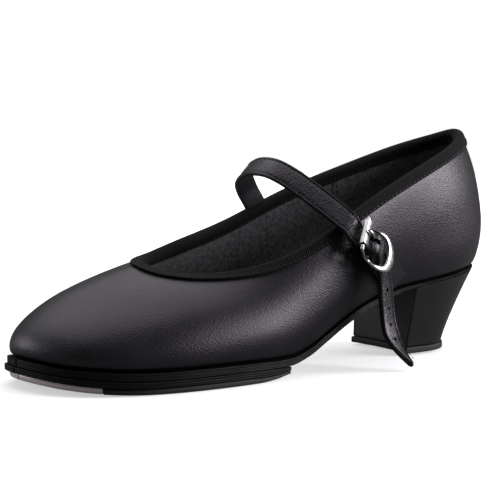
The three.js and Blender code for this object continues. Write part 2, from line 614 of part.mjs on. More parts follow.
// ---------------------------------------------------------------- strap
// The strap's middle line from the inner side's top line, over the instep, under the front
// bar, over the turning bar, under the loop, and down to its hanging tip. Each point has
// the direction of the strap's front edge.
const innerEdge = [0.03, -0.93, -0.37];
const instepEdge = [0.07, -0.77, -0.64];
const buckleEdge = [0.426, -0.548, -0.717];
const tailEdge = [0.42, -0.9, -0.1];
const near = (x, y, z) => fromBuckle(x, y, z).toArray();
const strapRoute = [
  { at: [-31.4, 15.8, 70.2], edge: innerEdge },
  { at: [-30, 11, 76.6], edge: innerEdge },
  { at: [-24.5, 5.6, 82.6], edge: instepEdge },
  { at: [-15, 2.2, 86.6], edge: instepEdge },
  { at: [-5, 0.9, 88.4], edge: instepEdge },
  { at: [4.5, 1.8, 87.8], edge: instepEdge },
  { at: [13, 6, 83.6], edge: instepEdge },
  { at: [22.5, 11.4, 76.8], edge: [0.15, -0.7, -0.68] },
  { at: [30.4, 16.2, 70.6], edge: [0.24, -0.65, -0.7] },
  { at: [36.4, 19.8, 65.3], edge: [0.34, -0.6, -0.71] },
  { at: near(-8, 0, -1.5), edge: buckleEdge },
  { at: near(-4, 0, 1.4), edge: buckleEdge },
  { at: near(0, 0, 4), edge: buckleEdge },
  { at: near(3.6, -0.5, 3.1), edge: buckleEdge },
  { at: near(7.4, -1.7, 1.0), edge: buckleEdge },
  { at: near(12, -4.0, 0), edge: [0.43, -0.65, -0.6] },
  { at: [40, 37.0, 40], edge: [0.43, -0.8, -0.35] },
  { at: [40.2, 38, 33], edge: tailEdge },
  { at: [40.8, 38.7, 25.4], edge: tailEdge },
  { at: [42.4, 38.8, 19], edge: tailEdge },
  { at: [45.4, 39, 13], edge: tailEdge },
  { at: [49.1, 40.4, 7], edge: [0.5, -0.86, -0.1] },
  { at: [53.2, 42.8, 2], edge: [0.6, -0.79, -0.1] },
];
const openCurve = (points) =>
  new THREE.CatmullRomCurve3(points.map((p) => new THREE.Vector3(...p)), false, 'centripetal');
const strapLine = openCurve(strapRoute.map((p) => p.at));
const strapEdge = openCurve(strapRoute.map((p) => p.edge));
const tipLength = 12;

/** The strap's middle, front-edge direction and outward direction at t from 0 to 1. */
function strapFrame(t) {
  const middle = strapLine.getPoint(t);
  const run = strapLine.getTangent(t);
  const edge = strapEdge.getPoint(t);
  edge.addScaledVector(run, -edge.dot(run)).normalize();
  const out = new THREE.Vector3().crossVectors(edge, run);
  return { middle, edge, out };
}

/** A strip of the strap between two distances outward from its middle line. */
function strapStrip(inner, outer, steps = 58) {
  const rings = [];
  for (let k = 0; k <= steps; k += 1) {
    const { middle, edge, out } = strapFrame(k / steps);
    const toTip = middle.distanceTo(strapLine.getPoint(1));
    const point = k === steps ? 0.12 : Math.min(1, 0.12 + 0.88 * (toTip / tipLength) ** 0.85);
    const half = (strapWidth / 2) * point;
    const corner = (side, lift) =>
      middle.clone().addScaledVector(edge, side * half).addScaledVector(out, lift);
    rings.push([corner(-1, inner), corner(1, inner), corner(1, outer), corner(-1, outer)]);
  }
  return loft(rings);
}

/** A punched hole through the strap at t. */
function punch(t, radius = 1.0) {
  const { middle, edge, out } = strapFrame(t);
  const run = new THREE.Vector3().crossVectors(edge, out);
  const turnTo = new THREE.Matrix4().makeBasis(edge, out, run).setPosition(middle);
  return levelBar(6, radius, 8).applyMatrix4(turnTo);
}
const punches = [0.76, 0.81, 0.86, 0.91].map((t) => punch(t));
const prongOpening = block([-6.3, -1.4, -3], [1.2, 1.4, 8]).applyMatrix4(buckle.matrixWorld);
const halfSeam = 0.26;
add('strap', cut(
  strapStrip(halfSeam, halfSeam + strapLeather), prongOpening, ...punches), strapLeatherFinish);
add('strap_lining', cut(
  strapStrip(-halfSeam - strapBacking, -halfSeam), prongOpening, ...punches), leather);
add('strap_anchor', wallLayer({
  from: 15.28, to: 15.66, low: 4 / 9, high: 0.985, outer: stiffenerFace,
  thickness: stiffenerThickness,
}), leather);

// The shoe was laid out round its heel and ball; the origin goes under its middle.
const box = new THREE.Box3().setFromObject(group, true);
group.position.set(-(box.min.x + box.max.x) / 2, -(box.min.y + box.max.y) / 2, 0);

export default group;
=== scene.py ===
# %% [markdown]
# # A women's tap shoe, piece by piece
# The measured solids of the shoe come first, as a fixed frame of bodies that turn on real
# joints. Everything made below is laid over that frame in the same place, so a buckle drawn
# here turns with the body that it rides on.

# %% Load the frame
import math

import bpy
import numpy as np
from mathutils import Matrix, Vector


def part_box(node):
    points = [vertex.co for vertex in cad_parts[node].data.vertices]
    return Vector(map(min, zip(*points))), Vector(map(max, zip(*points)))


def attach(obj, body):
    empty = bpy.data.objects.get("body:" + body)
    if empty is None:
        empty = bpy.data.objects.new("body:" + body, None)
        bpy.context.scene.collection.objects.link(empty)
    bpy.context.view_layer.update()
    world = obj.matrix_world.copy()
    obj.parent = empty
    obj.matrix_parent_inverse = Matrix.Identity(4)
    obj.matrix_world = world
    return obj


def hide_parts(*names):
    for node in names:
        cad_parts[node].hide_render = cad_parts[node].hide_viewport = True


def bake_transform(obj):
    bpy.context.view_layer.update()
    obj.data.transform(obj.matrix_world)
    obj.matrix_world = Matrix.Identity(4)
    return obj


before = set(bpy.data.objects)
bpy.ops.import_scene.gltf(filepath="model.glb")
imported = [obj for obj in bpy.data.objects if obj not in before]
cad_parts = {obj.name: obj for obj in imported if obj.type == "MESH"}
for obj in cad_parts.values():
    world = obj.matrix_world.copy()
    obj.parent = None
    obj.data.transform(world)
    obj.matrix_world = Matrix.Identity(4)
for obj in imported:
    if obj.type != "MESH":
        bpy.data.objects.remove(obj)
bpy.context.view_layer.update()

# %% [markdown]
# A shoemaker works from the last in millimetres, so every shape here does too. The shank is
# a steel strip whose place on the last is known: its middle is 40 mm behind the ball line.
# Comparing it with the measured shank gives the step from last millimetres to frame metres.

# %% From last millimetres to frame metres
shank_low, shank_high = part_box("shank")
MIDDLE = np.array([
    (shank_low[0] + shank_high[0]) / 2, (shank_low[1] + shank_high[1]) / 2 - 0.040, 0.0])


def metres(points):
    """Points given in last millimetres, in frame metres."""
    return np.asarray(points, float) / 1000 + MIDDLE


print("the last's origin is at", np.round(MIDDLE * 1000, 2), "mm")

# %% [markdown]
# ## Camera, floor and light
# The shoe stands on a plain pale floor. A long lens from about 0.9 m keeps its proportions.
# Black leather shows its form only through what it reflects, so the light comes from large
# soft panels: one overhead, one at the heel's outer side and a small one at the toe.

# %% Camera
camera = bpy.data.objects.new("camera", bpy.data.cameras.new("camera"))
bpy.context.scene.collection.objects.link(camera)
camera.data.lens = 143.685
camera.data.sensor_width = 36
camera_right = Vector((0.56509, 0.82503, 0.0))
camera_up = Vector((-0.09607, 0.06581, 0.99320))
camera_back = camera_right.cross(camera_up)
turned = Matrix((camera_right, camera_up, camera_back)).transposed().to_4x4()
camera.matrix_world = Matrix.Translation(metres([728.966, -506.982, 155.495])) @ turned
bpy.context.scene.camera = camera
bpy.context.scene.view_settings.view_transform = "Standard"
print("camera at", [round(x, 3) for x in camera.matrix_world.translation])

# %% Soft panels of light
def soft_panel(name, place, aim, size, power, colour=(1.0, 1.0, 1.0)):
    """A rectangular light at a place in metres, turned to face a point."""
    light = bpy.data.lights.new(name, "AREA")
    light.shape = "RECTANGLE"
    light.size, light.size_y = size
    light.energy = power
    light.color = colour
    panel = bpy.data.objects.new(name, light)
    bpy.context.scene.collection.objects.link(panel)
    panel.location = place
    panel.rotation_euler = (Vector(aim) - Vector(place)).to_track_quat("-Z", "Y").to_euler()
    return panel


heart = (0.0, 0.0, 0.05)
soft_panel("overhead_panel", (-0.45, 0.05, 1.25), heart, (1.7, 1.7), 15, (0.99, 0.965, 1.0))
soft_panel("right_panel", (0.75, 1.0, 0.5), heart, (0.85, 0.5), 22, (0.99, 0.955, 1.0))
soft_panel("toe_panel", (-0.85, -0.85, 0.38), heart, (0.45, 0.45), 3.6, (0.99, 0.97, 1.0))

# %% [markdown]
# A white room would fill every reflection and turn black leather grey. So the surroundings
# look white to the camera and stay dim as a source of light. The floor is a plain pale disc.
# Near the shoe the panels light it and it takes a soft shadow. It also glows, more strongly
# further out, as a lit backdrop does, and so it ends without an edge.

# %% World
world = bpy.data.worlds.new("studio")
world.use_nodes = True
nodes, links = world.node_tree.nodes, world.node_tree.links
dim = nodes["Background"]
dim.inputs["Color"].default_value = (1.0, 1.0, 1.0, 1.0)
dim.inputs["Strength"].default_value = 0.12
bright = nodes.new("ShaderNodeBackground")
bright.inputs["Color"].default_value = (1.0, 1.0, 1.0, 1.0)
seen = nodes.new("ShaderNodeLightPath")
mix = nodes.new("ShaderNodeMixShader")
links.new(seen.outputs["Is Camera Ray"], mix.inputs[0])
links.new(dim.outputs[0], mix.inputs[1])
links.new(bright.outputs[0], mix.inputs[2])
links.new(mix.outputs[0], nodes["World Output"].inputs["Surface"])
bpy.context.scene.world = world

# %% Floor
bpy.ops.mesh.primitive_circle_add(
    vertices=128, radius=1.1, fill_type="NGON", location=(0, 0, -0.0002))
floor = bpy.context.object
floor.name = "studio_floor"

# %% [markdown]
# ## Finishes
# A finish is a small tree of nodes: a colour that varies a little, a roughness that varies
# with it, and a bump for what is too fine to model, such as the pores of leather. Painting
# the leather by hand would take longer and would not hold up close. Noise in the piece's
# own coordinates gives the grain its true scale, because the shoe is built at full size.

# %% A helper for finishes
class Finish:
    """A material and the few node steps that all the finishes of this shoe share."""

    def __init__(self, name, roughness=0.5, metallic=0.0):
        self.material = bpy.data.materials.new(name)
        self.material.use_nodes = True
        self.tree = self.material.node_tree
        self.shader = self.tree.nodes["Principled BSDF"]
        self.shader.inputs["Roughness"].default_value = roughness
        self.shader.inputs["Metallic"].default_value = metallic
        self.where = self.tree.nodes.new("ShaderNodeTexCoord").outputs["Object"]

    def node(self, kind, links=(), **settings):
        made = self.tree.nodes.new(kind)
        for key, value in settings.items():
            setattr(made, key, value)
        for socket, source in links:
            if hasattr(source, "is_output"):
                self.tree.links.new(source, made.inputs[socket])
            else:
                made.inputs[socket].default_value = source
        return made

    def stretched(self, scale, turn=(0, 0, 0)):
        """The piece's coordinates, turned and stretched."""
        links = [("Vector", self.where), ("Scale", scale), ("Rotation", turn)]
        return self.node("ShaderNodeMapping", links).outputs["Vector"]

    def noise(self, scale, detail=3.0, vector=None, roughness=0.5):
        links = [("Vector", vector or self.where), ("Scale", scale), ("Detail", detail),
                 ("Roughness", roughness)]
        return self.node("ShaderNodeTexNoise", links).outputs["Fac"]

    def cells(self, scale, vector=None, feature="F1"):
        links = [("Vector", vector or self.where), ("Scale", scale)]
        return self.node("ShaderNodeTexVoronoi", links, feature=feature).outputs["Distance"]

    def ramp(self, source, low, high, start=0.3, end=0.7):
        """Two numbers or colours, mixed by a source between start and end."""
        made = self.node("ShaderNodeValToRGB", [("Fac", source)])
        stops = made.color_ramp.elements
        stops[0].position, stops[1].position = start, end
        for stop, value in zip(stops, (low, high)):
            rgb = (value, value, value) if isinstance(value, (int, float)) else value
            stop.color = (*rgb, 1.0)
        return made.outputs["Color"]

    def sum(self, a, b, weight=1.0):
        links = [(0, b), (1, weight), (2, a)]
        return self.node("ShaderNodeMath", links, operation="MULTIPLY_ADD").outputs[0]

    def colour(self, source):
        self.tree.links.new(source, self.shader.inputs["Base Color"])

    def rough(self, source):
        self.tree.links.new(source, self.shader.inputs["Roughness"])

    def bump(self, height, depth, strength=1.0):
        """Relief of a depth in metres."""
        links = [("Height", height), ("Distance", depth), ("Strength", strength)]
        made = self.node("ShaderNodeBump", links)
        self.tree.links.new(made.outputs["Normal"], self.shader.inputs["Normal"])


def floor_finish():
    made = Finish("studio_white", roughness=0.9)
    made.colour(made.ramp(made.noise(2.0), (0.74, 0.74, 0.74), (0.76, 0.76, 0.76)))
    away = made.node("ShaderNodeVectorMath", [(0, made.where)], operation="LENGTH").outputs["Value"]
    glow = made.ramp(away, 0.52, 1.0, 0.15, 0.6)
    made.tree.links.new(glow, made.shader.inputs["Emission Color"])
    made.shader.inputs["Emission Strength"].default_value = 1.0
    made.shader.inputs["Specular IOR Level"].default_value = 0.1
    bounce = made.node("ShaderNodeBsdfDiffuse", [("Color", (0.22, 0.22, 0.22, 1.0))])
    ray = made.node("ShaderNodeLightPath").outputs["Is Camera Ray"]
    both = made.node("ShaderNodeMixShader", [
        (0, ray), (1, bounce.outputs[0]), (2, made.shader.outputs[0])])
    made.tree.links.new(both.outputs[0], made.tree.nodes["Material Output"].inputs["Surface"])
    return made.material


floor.data.materials.append(floor_finish())
print("the floor is plain and pale")

# %% [markdown]
# ### Leather
# The upper is smooth grain leather with a satin dressing. Its pores are about half a
# millimetre apart, drawn out a little along the shoe by lasting. Cells and a finer noise give
# the grain, a cloudy noise gives the uneven take of the dressing, and the dressing itself is a
# thin coat. The strap is cut from a firmer skin with a bolder pebble.

# %% Leather finishes
def leather(name, dark, light, roughness, pebble, depth, coat=0.12):
    made = Finish(name)
    cloudy = made.noise(42.0, 4.0)
    made.colour(made.ramp(cloudy, dark, light))
    pores = made.stretched((1.0, 0.72, 1.1), (0.2, 0.1, 0.35))
    grain = made.cells(pebble, pores, "SMOOTH_F1")
    fine = made.noise(pebble * 2.6, 2.0)
    made.bump(made.sum(grain, fine, 0.35), depth)
    made.rough(made.ramp(cloudy, roughness - 0.04, roughness + 0.06))
    made.shader.inputs["Coat Weight"].default_value = coat
    made.shader.inputs["Coat Roughness"].default_value = 0.3
    made.shader.inputs["Specular IOR Level"].default_value = 0.36
    made.shader.inputs["Specular Tint"].default_value = (0.97, 0.9, 1.0, 1.0)
    return made.material


UPPER_LEATHER = leather(
    "satin_upper_leather", (0.0035, 0.0033, 0.0041), (0.0068, 0.0064, 0.0078), 0.40, 1900, 0.00012)
STRAP_LEATHER = leather(
    "pebbled_strap_leather", (0.004, 0.0039, 0.0047), (0.008, 0.0078, 0.0093), 0.34, 1250,
    0.0003, 0.2)
STRAP_BACK = leather(
    "strap_back_leather", (0.006, 0.006, 0.007), (0.011, 0.011, 0.012), 0.5, 1300, 0.00010, 0.0)
TAB_LEATHER = leather(
    "tab_leather", (0.006, 0.006, 0.007), (0.012, 0.012, 0.014), 0.45, 1500, 0.00010)
print("leathers", [m.name for m in bpy.data.materials if "leather" in m.name])

# %% [markdown]
# ### Lining, tape and thread
# The lining is a brushed cloth: short loose fibres that scatter light and hide any shine, so
# it has a sheen and a speckled colour. The binding is a ribbed tape folded over the edge.
# Its ribs run across the tape, so they are drawn in the tape's own length, kept as a UV map
# in millimetres.

# %% Cloth finishes
def brushed_lining(name, dark, light):
    made = Finish(name, roughness=0.95)
    tufts = made.noise(520.0, 6.0, roughness=0.75)
    speck = made.noise(2300.0, 3.0, roughness=0.8)
    made.colour(made.ramp(made.sum(tufts, speck, 0.5), dark, light, 0.55, 1.0))
    made.bump(made.sum(tufts, speck, 0.5), 0.0005)
    made.shader.inputs["Sheen Weight"].default_value = 0.35
    made.shader.inputs["Sheen Roughness"].default_value = 0.5
    made.shader.inputs["Specular IOR Level"].default_value = 0.15
    return made.material


def ribbed_tape(name, pitch_mm=0.95):
    made = Finish(name, roughness=0.8)
    along_tape = made.node("ShaderNodeUVMap", uv_map="tape_mm").outputs["UV"]
    ribs_at = made.node(
        "ShaderNodeMapping", [("Vector", along_tape), ("Scale", (1 / pitch_mm, 1.0, 1.0))])
    wave = made.node(
        "ShaderNodeTexWave",
        [("Vector", ribs_at.outputs["Vector"]), ("Scale", 0.31415), ("Distortion", 0.0)],
        wave_type="BANDS", bands_direction="X").outputs["Fac"]
    threads = made.noise(2600.0, 2.0)
    made.colour(made.ramp(
        made.sum(wave, threads, 0.4), (0.0008, 0.0008, 0.001), (0.005, 0.005, 0.0056)))
    made.bump(made.sum(wave, threads, 0.35), 0.00025)
    made.shader.inputs["Sheen Weight"].default_value = 0.02
    made.shader.inputs["Specular IOR Level"].default_value = 0.14
    return made.material


LINING = brushed_lining("brushed_lining", (0.014, 0.014, 0.015), (0.17, 0.17, 0.18))
SOCK_CLOTH = brushed_lining("sock_cloth", (0.01, 0.01, 0.011), (0.06, 0.06, 0.063))
TAPE = ribbed_tape("ribbed_binding_tape")


def thread_finish():
    made = Finish("waxed_thread", roughness=0.55)
    twist = made.noise(3000.0, 2.0)
    made.colour(made.ramp(twist, (0.006, 0.006, 0.007), (0.02, 0.02, 0.022)))
    made.bump(twist, 0.00008)
    return made.material


THREAD = thread_finish()
print("cloths", LINING.name, TAPE.name, THREAD.name)

# %% [markdown]
# ### Sole, heel and rubber
# The sole's edge is cut, stained and burnished, which leaves fine lines along it. The heel is
# moulded and lacquered: nearly smooth, with a soft shine. The rubber is matt with a fine
# tooth.

# %% Sole, heel and rubber finishes
def burnished_edge(name):
    made = Finish(name)
    lines = made.noise(520.0, 4.0, made.stretched((0.05, 0.05, 2.6)))
    patch = made.noise(60.0, 3.0)
    made.colour(made.ramp(lines, (0.002, 0.002, 0.0022), (0.006, 0.006, 0.0062), 0.35, 0.75))
    made.rough(made.ramp(patch, 0.45, 0.65))
    made.bump(lines, 0.00025)
    made.shader.inputs["Specular IOR Level"].default_value = 0.16
    return made.material


def lacquer(name):
    made = Finish(name)
    slow = made.noise(38.0, 3.0)
    skin = made.noise(900.0, 2.0)
    made.colour(made.ramp(slow, (0.004, 0.004, 0.0048), (0.0065, 0.0065, 0.0076)))
    made.rough(made.ramp(slow, 0.40, 0.47))
    made.bump(made.sum(slow, skin, 0.06), 0.0002)
    made.shader.inputs["Coat Weight"].default_value = 0.1
    made.shader.inputs["Coat Roughness"].default_value = 0.3
    made.shader.inputs["Specular IOR Level"].default_value = 0.36
    return made.material


def tread_rubber(name):
    made = Finish(name)
    tooth = made.noise(1900.0, 3.0)
    made.colour(made.ramp(made.noise(75.0), (0.007, 0.007, 0.0075), (0.013, 0.013, 0.0135)))
    made.rough(made.ramp(tooth, 0.6, 0.8))
    made.bump(tooth, 0.00018)
    return made.material


SOLE_EDGE = burnished_edge("burnished_sole")
HEEL_LACQUER = lacquer("heel_lacquer")
RUBBER = tread_rubber("tread_rubber")
print("sole, heel and rubber are ready")

# %% [markdown]
# ### Metals
# The buckle is bright nickel plate with the faint ripple that polishing leaves. The taps are
# cast alloy, duller and a little scratched where they strike the floor; their pale pinkish-white
# is a painted reflection of the white surroundings. Screws, nails and the shank are plain steel.

# %% Metal finishes
def metal(name, dark, light, low, high, ripple, depth, brushed=(1.0, 1.0, 1.0), metallic=1.0):
    made = Finish(name, metallic=metallic)
    grain = made.noise(ripple, 4.0, made.stretched(brushed))
    made.colour(made.ramp(grain, dark, light))
    made.rough(made.ramp(grain, low, high))
    made.bump(grain, depth)
    return made.material


NICKEL = metal("bright_nickel", (0.36, 0.355, 0.35), (0.48, 0.475, 0.47), 0.2, 0.28, 420, 0.00003)
# The taps' pale pinkish-white base colour is a painted reflection of the white surroundings, shown
# through a low metallic value.
TAP_ALLOY_PAINTED_REFLECTION = metal(
    "tap_alloy_painted_reflection", (0.84, 0.73, 0.71), (0.96, 0.87, 0.85), 0.28, 0.45, 700, 0.00006,
    (1, 0.25, 1), 0.2)
STEEL = metal("plain_steel", (0.42, 0.42, 0.43), (0.6, 0.6, 0.61), 0.3, 0.5, 900, 0.00005)
print("metals", NICKEL.name, TAP_ALLOY_PAINTED_REFLECTION.name, STEEL.name)

# %% [markdown]
# ### Hidden layers
# The stiffeners and the insole are brown fibreboard, the filler is cork, and the cushion
# under the sock is thin grey foam.

# %% Board, cork and foam finishes
def speckled(name, dark, light, scale, depth, roughness=0.9):
    made = Finish(name, roughness=roughness)
    flecks = made.noise(scale, 5.0, roughness=0.7)
    made.colour(made.ramp(flecks, dark, light))
    made.bump(flecks, depth)
    return made.material


BOARD = speckled("fibreboard", (0.13, 0.09, 0.055), (0.24, 0.18, 0.12), 900, 0.00015)
CORK = speckled("cork_sheet", (0.16, 0.09, 0.045), (0.42, 0.28, 0.16), 480, 0.0003)
FOAM = speckled("cushion_foam", (0.2, 0.2, 0.19), (0.34, 0.33, 0.31), 1500, 0.0002)
print("hidden layers are ready")

# %% [markdown]
# ## Curves that the whole shoe follows
# A shoe has few straight lines. Heights along it are given as pairs, a place from toe to heel
# and a height there, and a smooth curve passes through them without overshooting.

# %% Heights along the shoe
SOLE_TOP = [
    (-122, 12.8), (-112, 10.9), (-100, 9.8), (-88, 9.1), (-75, 8.9), (-50, 8.9), (-30, 8.7),
    (-20, 8.4), (-12, 8.5), (0, 11.0), (12, 16.0), (24, 21.5), (36, 26.4), (48, 30.1),
    (58, 32.3), (67, 33.6), (80, 35.0), (100, 37.4), (114, 39.0)]
OUTSOLE_THICKNESS = [(-122, 3.2), (20, 3.0), (50, 2.4), (66, 1.6), (80, 1.0), (114, 1.0)]
TREAD = [
    (-122, 4.0), (-111, 2.0), (-100, 0.8), (-88, 0.15), (-80, 0), (-30, 0), (-20, 0.7), (-12, 2.0)]
TREAD_THICKNESS = [(-122, 2.5), (-40, 2.5), (-12, 1.2)]
LEDGE = [(-122, 2.0), (-20, 1.9), (10, 0.9), (114, 0.6)]
BOARD_LIP = [(-122, 1.2), (-100, 1.0), (-60, 0.2), (-10, 0.1)]
SOLE_GAP = 0.45


def along(pairs, y):
    """The height at y of a smooth curve through the pairs."""
    xs, zs = np.array(pairs, float).T
    y = np.clip(np.asarray(y, float), xs[0], xs[-1])
    slopes = np.diff(zs) / np.diff(xs)
    bends = slopes[:-1] * slopes[1:]
    inner = np.where(bends > 0, 2 * bends / np.where(bends > 0, slopes[:-1] + slopes[1:], 1), 0)
    tangents = np.concatenate([[slopes[0]], inner, [slopes[-1]]])
    i = np.clip(np.searchsorted(xs, y, side="right") - 1, 0, len(xs) - 2)
    span = xs[i + 1] - xs[i]
    t = (y - xs[i]) / span
    h00 = 2 * t**3 - 3 * t**2 + 1
    return (h00 * zs[i] + (t**3 - 2 * t**2 + t) * span * tangents[i]
            + (1 - h00) * zs[i + 1] + (t**3 - t**2) * span * tangents[i + 1])


def sole_top(y):
    return along(SOLE_TOP, y)


def outsole_underside(y):
    return along(SOLE_TOP, y) - along(OUTSOLE_THICKNESS, y)


print("the arch rises to", round(float(sole_top(60)), 1), "mm at the heel's breast")

# %% [markdown]
# The wall of the upper is a surface through 20 ribs. Each rib is a curve with four handles:
# the feather line at the sole, two handles that give the swell of the side, and the top
# line. Stations run round the shoe from the back seam along the outer side to the toe and
# back along the inner side. A lasted upper has no kinks, so the handles are joined by curves
# whose bend also changes smoothly.

# %% The ribs of the last
RIBS = [
    ((0.5, 113.8), (0.5, 121, 51), (0.2, 123.2, 76), (0, 110.6, 101.6)),
    ((15.2, 108.6), (19.4, 115, 50), (16.6, 113.6, 78), (11, 104.8, 98.8)),
    ((24.2, 88), (29.8, 90.5, 48), (27.6, 89, 74), (21.6, 86.5, 92.9)),
    ((25.6, 60), (31.5, 61, 46), (33.4, 59, 66), (28.8, 58, 83.2)),
    ((27, 33), (35, 33, 38), (36.4, 31, 56), (31.6, 30, 70.8)),
    ((32.5, 5), (41, 5, 24), (39.4, 4.5, 41), (31.4, 4, 57)),
    ((38.2, -24), (46, -24, 20), (38.8, -22.5, 35.5), (25.6, -21, 48)),
    ((39.6, -53), (46.4, -54, 21), (33.6, -49, 38.5), (15.8, -44.5, 44.8)),
    ((35.2, -82.5), (41.2, -85.5, 21), (24.5, -70.5, 40), (6.4, -55.4, 45.6)),
    ((19.4, -109), (23.2, -115.6, 23), (9.5, -86, 40.5), (-0.3, -58.6, 47.2)),
    ((-7.3, -119.6), (-8.3, -125.8, 24.4), (-7, -96.6, 41.5), (-5, -59.6, 48.4)),
    ((-27.6, -110.6), (-31.6, -116.4, 25), (-21, -89.6, 43), (-9.6, -58.6, 48.8)),
    ((-36.8, -86.5), (-42, -90, 25), (-31.5, -71.5, 44.5), (-15.4, -54.4, 49.6)),
    ((-39.4, -57.5), (-46, -58.5, 24), (-37.4, -50, 45), (-21.6, -45, 51)),
    ((-36, -29), (-43, -29, 25), (-39.4, -26, 44), (-28.2, -24, 55.6)),
    ((-26.5, 0), (-36, 0, 28), (-38.2, 1, 47), (-31.6, 2, 62.6)),
    ((-21.4, 32), (-29.5, 33, 40), (-36, 31, 59), (-32, 30, 73.2)),
    ((-21.6, 60), (-28.5, 61, 46), (-32, 59, 67), (-28.8, 58, 82.6)),
    ((-20.8, 88), (-26.8, 90.5, 48), (-26, 89, 75), (-20.6, 87.5, 92.8)),
    ((-13.6, 108.6), (-18.2, 114.6, 50), (-16, 113.6, 78), (-10.6, 105, 98.7))]
RIB_COUNT = len(RIBS)


def smooth_ring(points):
    """A closed curve through points, smooth in bend as well as in direction."""
    points = np.array(points, float)
    size = len(points)
    balance = 4 * np.eye(size) + np.roll(np.eye(size), 1, 1) + np.roll(np.eye(size), -1, 1)
    tangents = np.linalg.solve(balance, 3 * (np.roll(points, -1, 0) - np.roll(points, 1, 0)))

    def at(station):
        place = np.asarray(station, float) % size
        i = np.floor(place).astype(int) % size
        j = (i + 1) % size
        t = (place - np.floor(place))[..., None]
        h00 = 2 * t**3 - 3 * t**2 + 1
        return (h00 * points[i] + (t**3 - 2 * t**2 + t) * tangents[i]
                + (1 - h00) * points[j] + (t**3 - t**2) * tangents[j])
    return at


foot_line = smooth_ring([(*rib[0], 0) for rib in RIBS])
low_line, high_line, rim_line = (smooth_ring([rib[k] for rib in RIBS]) for k in (1, 2, 3))
print(RIB_COUNT, "ribs joined round the shoe")

# %% Points on the wall and off it
def wall(station, rise):
    """Points of the wall: rise goes from 0 at the feather line to 1 at the top line."""
    station, rise = np.broadcast_arrays(np.asarray(station, float), np.asarray(rise, float))
    foot = foot_line(station)
    foot[..., 2] = sole_top(foot[..., 1]) + SOLE_GAP
    t = rise[..., None]
    return ((1 - t)**3 * foot + 3 * t * (1 - t)**2 * low_line(station)
            + 3 * t**2 * (1 - t) * high_line(station) + t**3 * rim_line(station))


def unit(vectors):
    return vectors / np.linalg.norm(vectors, axis=-1, keepdims=True)


def wall_directions(station, rise, step=0.01):
    """The way up the rib, round the shoe, and out of the wall."""
    low = np.minimum(rise, 1 - step)
    up = (wall(station, low + step) - wall(station, low)) / step
    around = wall(np.asarray(station) + step, rise) - wall(np.asarray(station) - step, rise)
    around = around / (2 * step)
    return up, around, unit(np.cross(up, around))


def off_wall(station, rise, out):
    """Points off the wall, out millimetres outward from the upper's face."""
    out = np.asarray(out, float)[..., None]
    return wall(station, rise) + wall_directions(station, rise)[2] * out


def beside_foot(station, outset):
    """Plan points beside the feather line, moved out by outset; the height is left at 0."""
    foot = foot_line(station)
    side = unit(foot_line(station + 0.02) - foot_line(station - 0.02))
    outset = outset(foot[..., 1]) if callable(outset) else np.asarray(outset, float)
    return foot + np.stack([-side[..., 1] * outset, side[..., 0] * outset, 0 * side[..., 0]], -1)


print("the back seam stands", round(float(wall(0, 1)[2] - wall(0, 0)[2]), 1), "mm high")

# %% [markdown]
# ## Turning points into pieces
# Most pieces are lofts: rings of points, joined in order. A loft keeps the grid of points in
# hand, so it can also carry a map in millimetres for stitches and ribs. Edges sharper than
# 38 degrees stay crisp, and the rest is shaded smooth.

# %% Loft and piece makers
def loft(rings, closed=False):
    """Points, faces and a millimetre map for rings of points, each a closed loop."""
    rings = np.asarray(rings, float)
    count, size = rings.shape[:2]
    lengths = np.linalg.norm(np.diff(rings, axis=0, append=rings[:1]), axis=-1).mean(1)
    u = np.concatenate([[0], np.cumsum(lengths)])
    v = np.concatenate([[0], np.cumsum(
        np.linalg.norm(np.diff(rings, axis=1, append=rings[:, :1]), axis=-1).mean(0))])
    faces, spots = [], []
    for r in range(count if closed else count - 1):
        a, b = r * size, (r + 1) % count * size
        for k in range(size):
            n = (k + 1) % size
            faces.append((a + k, a + n, b + n, b + k))
            spots.append(((u[r], v[k]), (u[r], v[k + 1]), (u[r + 1], v[k + 1]), (u[r + 1], v[k])))
    if not closed:
        faces.append(tuple(reversed(range(size))))
        faces.append(tuple(range((count - 1) * size, count * size)))
        spots += [((0.0, 0.0),) * size] * 2
    return rings.reshape(-1, 3), faces, spots


def gather(*parts):
    """Several lofts as one, each with the number of its finish."""
    points, faces, spots, slots = [], [], [], []
    start = 0
    for (part_points, part_faces, part_spots), slot in parts:
        points.append(part_points)
        faces += [tuple(i + start for i in face) for face in part_faces]
        spots += part_spots
        slots += [slot] * len(part_faces)
        start += len(part_points)
    return np.concatenate(points), faces, spots, slots


def piece(name, shape, finishes, body, replaced=(), crisp=38):
    """Makes an object from a loft or several, in last millimetres, and sets it on its body."""
    points, faces, spots = shape[:3]
    mesh = bpy.data.meshes.new(name)
    mesh.from_pydata(metres(points).tolist(), [], faces)
    layer = mesh.uv_layers.new(name="tape_mm")
    layer.data.foreach_set("uv", np.array([c for face in spots for spot in face for c in spot]))
    for finish in np.atleast_1d(finishes):
        mesh.materials.append(finish)
    if len(shape) > 3:
        mesh.polygons.foreach_set("material_index", shape[3])
    volume = sum(
        p.area * p.center.dot(p.normal) for p in mesh.polygons)
    if volume < 0:
        mesh.flip_normals()
    mesh.shade_smooth()
    mesh.set_sharp_from_angle(angle=math.radians(crisp))
    mesh.validate()
    made = bpy.data.objects.new(name, mesh)
    bpy.context.scene.collection.objects.link(made)
    if body:
        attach(made, body)
    if replaced:
        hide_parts(*replaced)
    print(name, len(mesh.polygons), "faces")
    return made


STATIONS = np.arange(0, RIB_COUNT, 1 / 12)
print(len(STATIONS), "stations round the shoe")

# %% [markdown]
# ## The upper
# The upper is one soft skin pulled over the last and turned in under it. It could be
# sculpted, but it has to agree with the lining, the tape and the sole to a tenth of a
# millimetre, so it is lofted from the same ribs. Just above the sole the skin rolls under,
# which gives the dark crease at the feather line. A slow ripple of a tenth of a millimetre
# keeps the reflections from looking moulded.

# %% Upper
UPPER_THICKNESS = 1.1
MARGIN = 10.0
ROLL = 0.05  # the part of the wall that rolls under at the sole


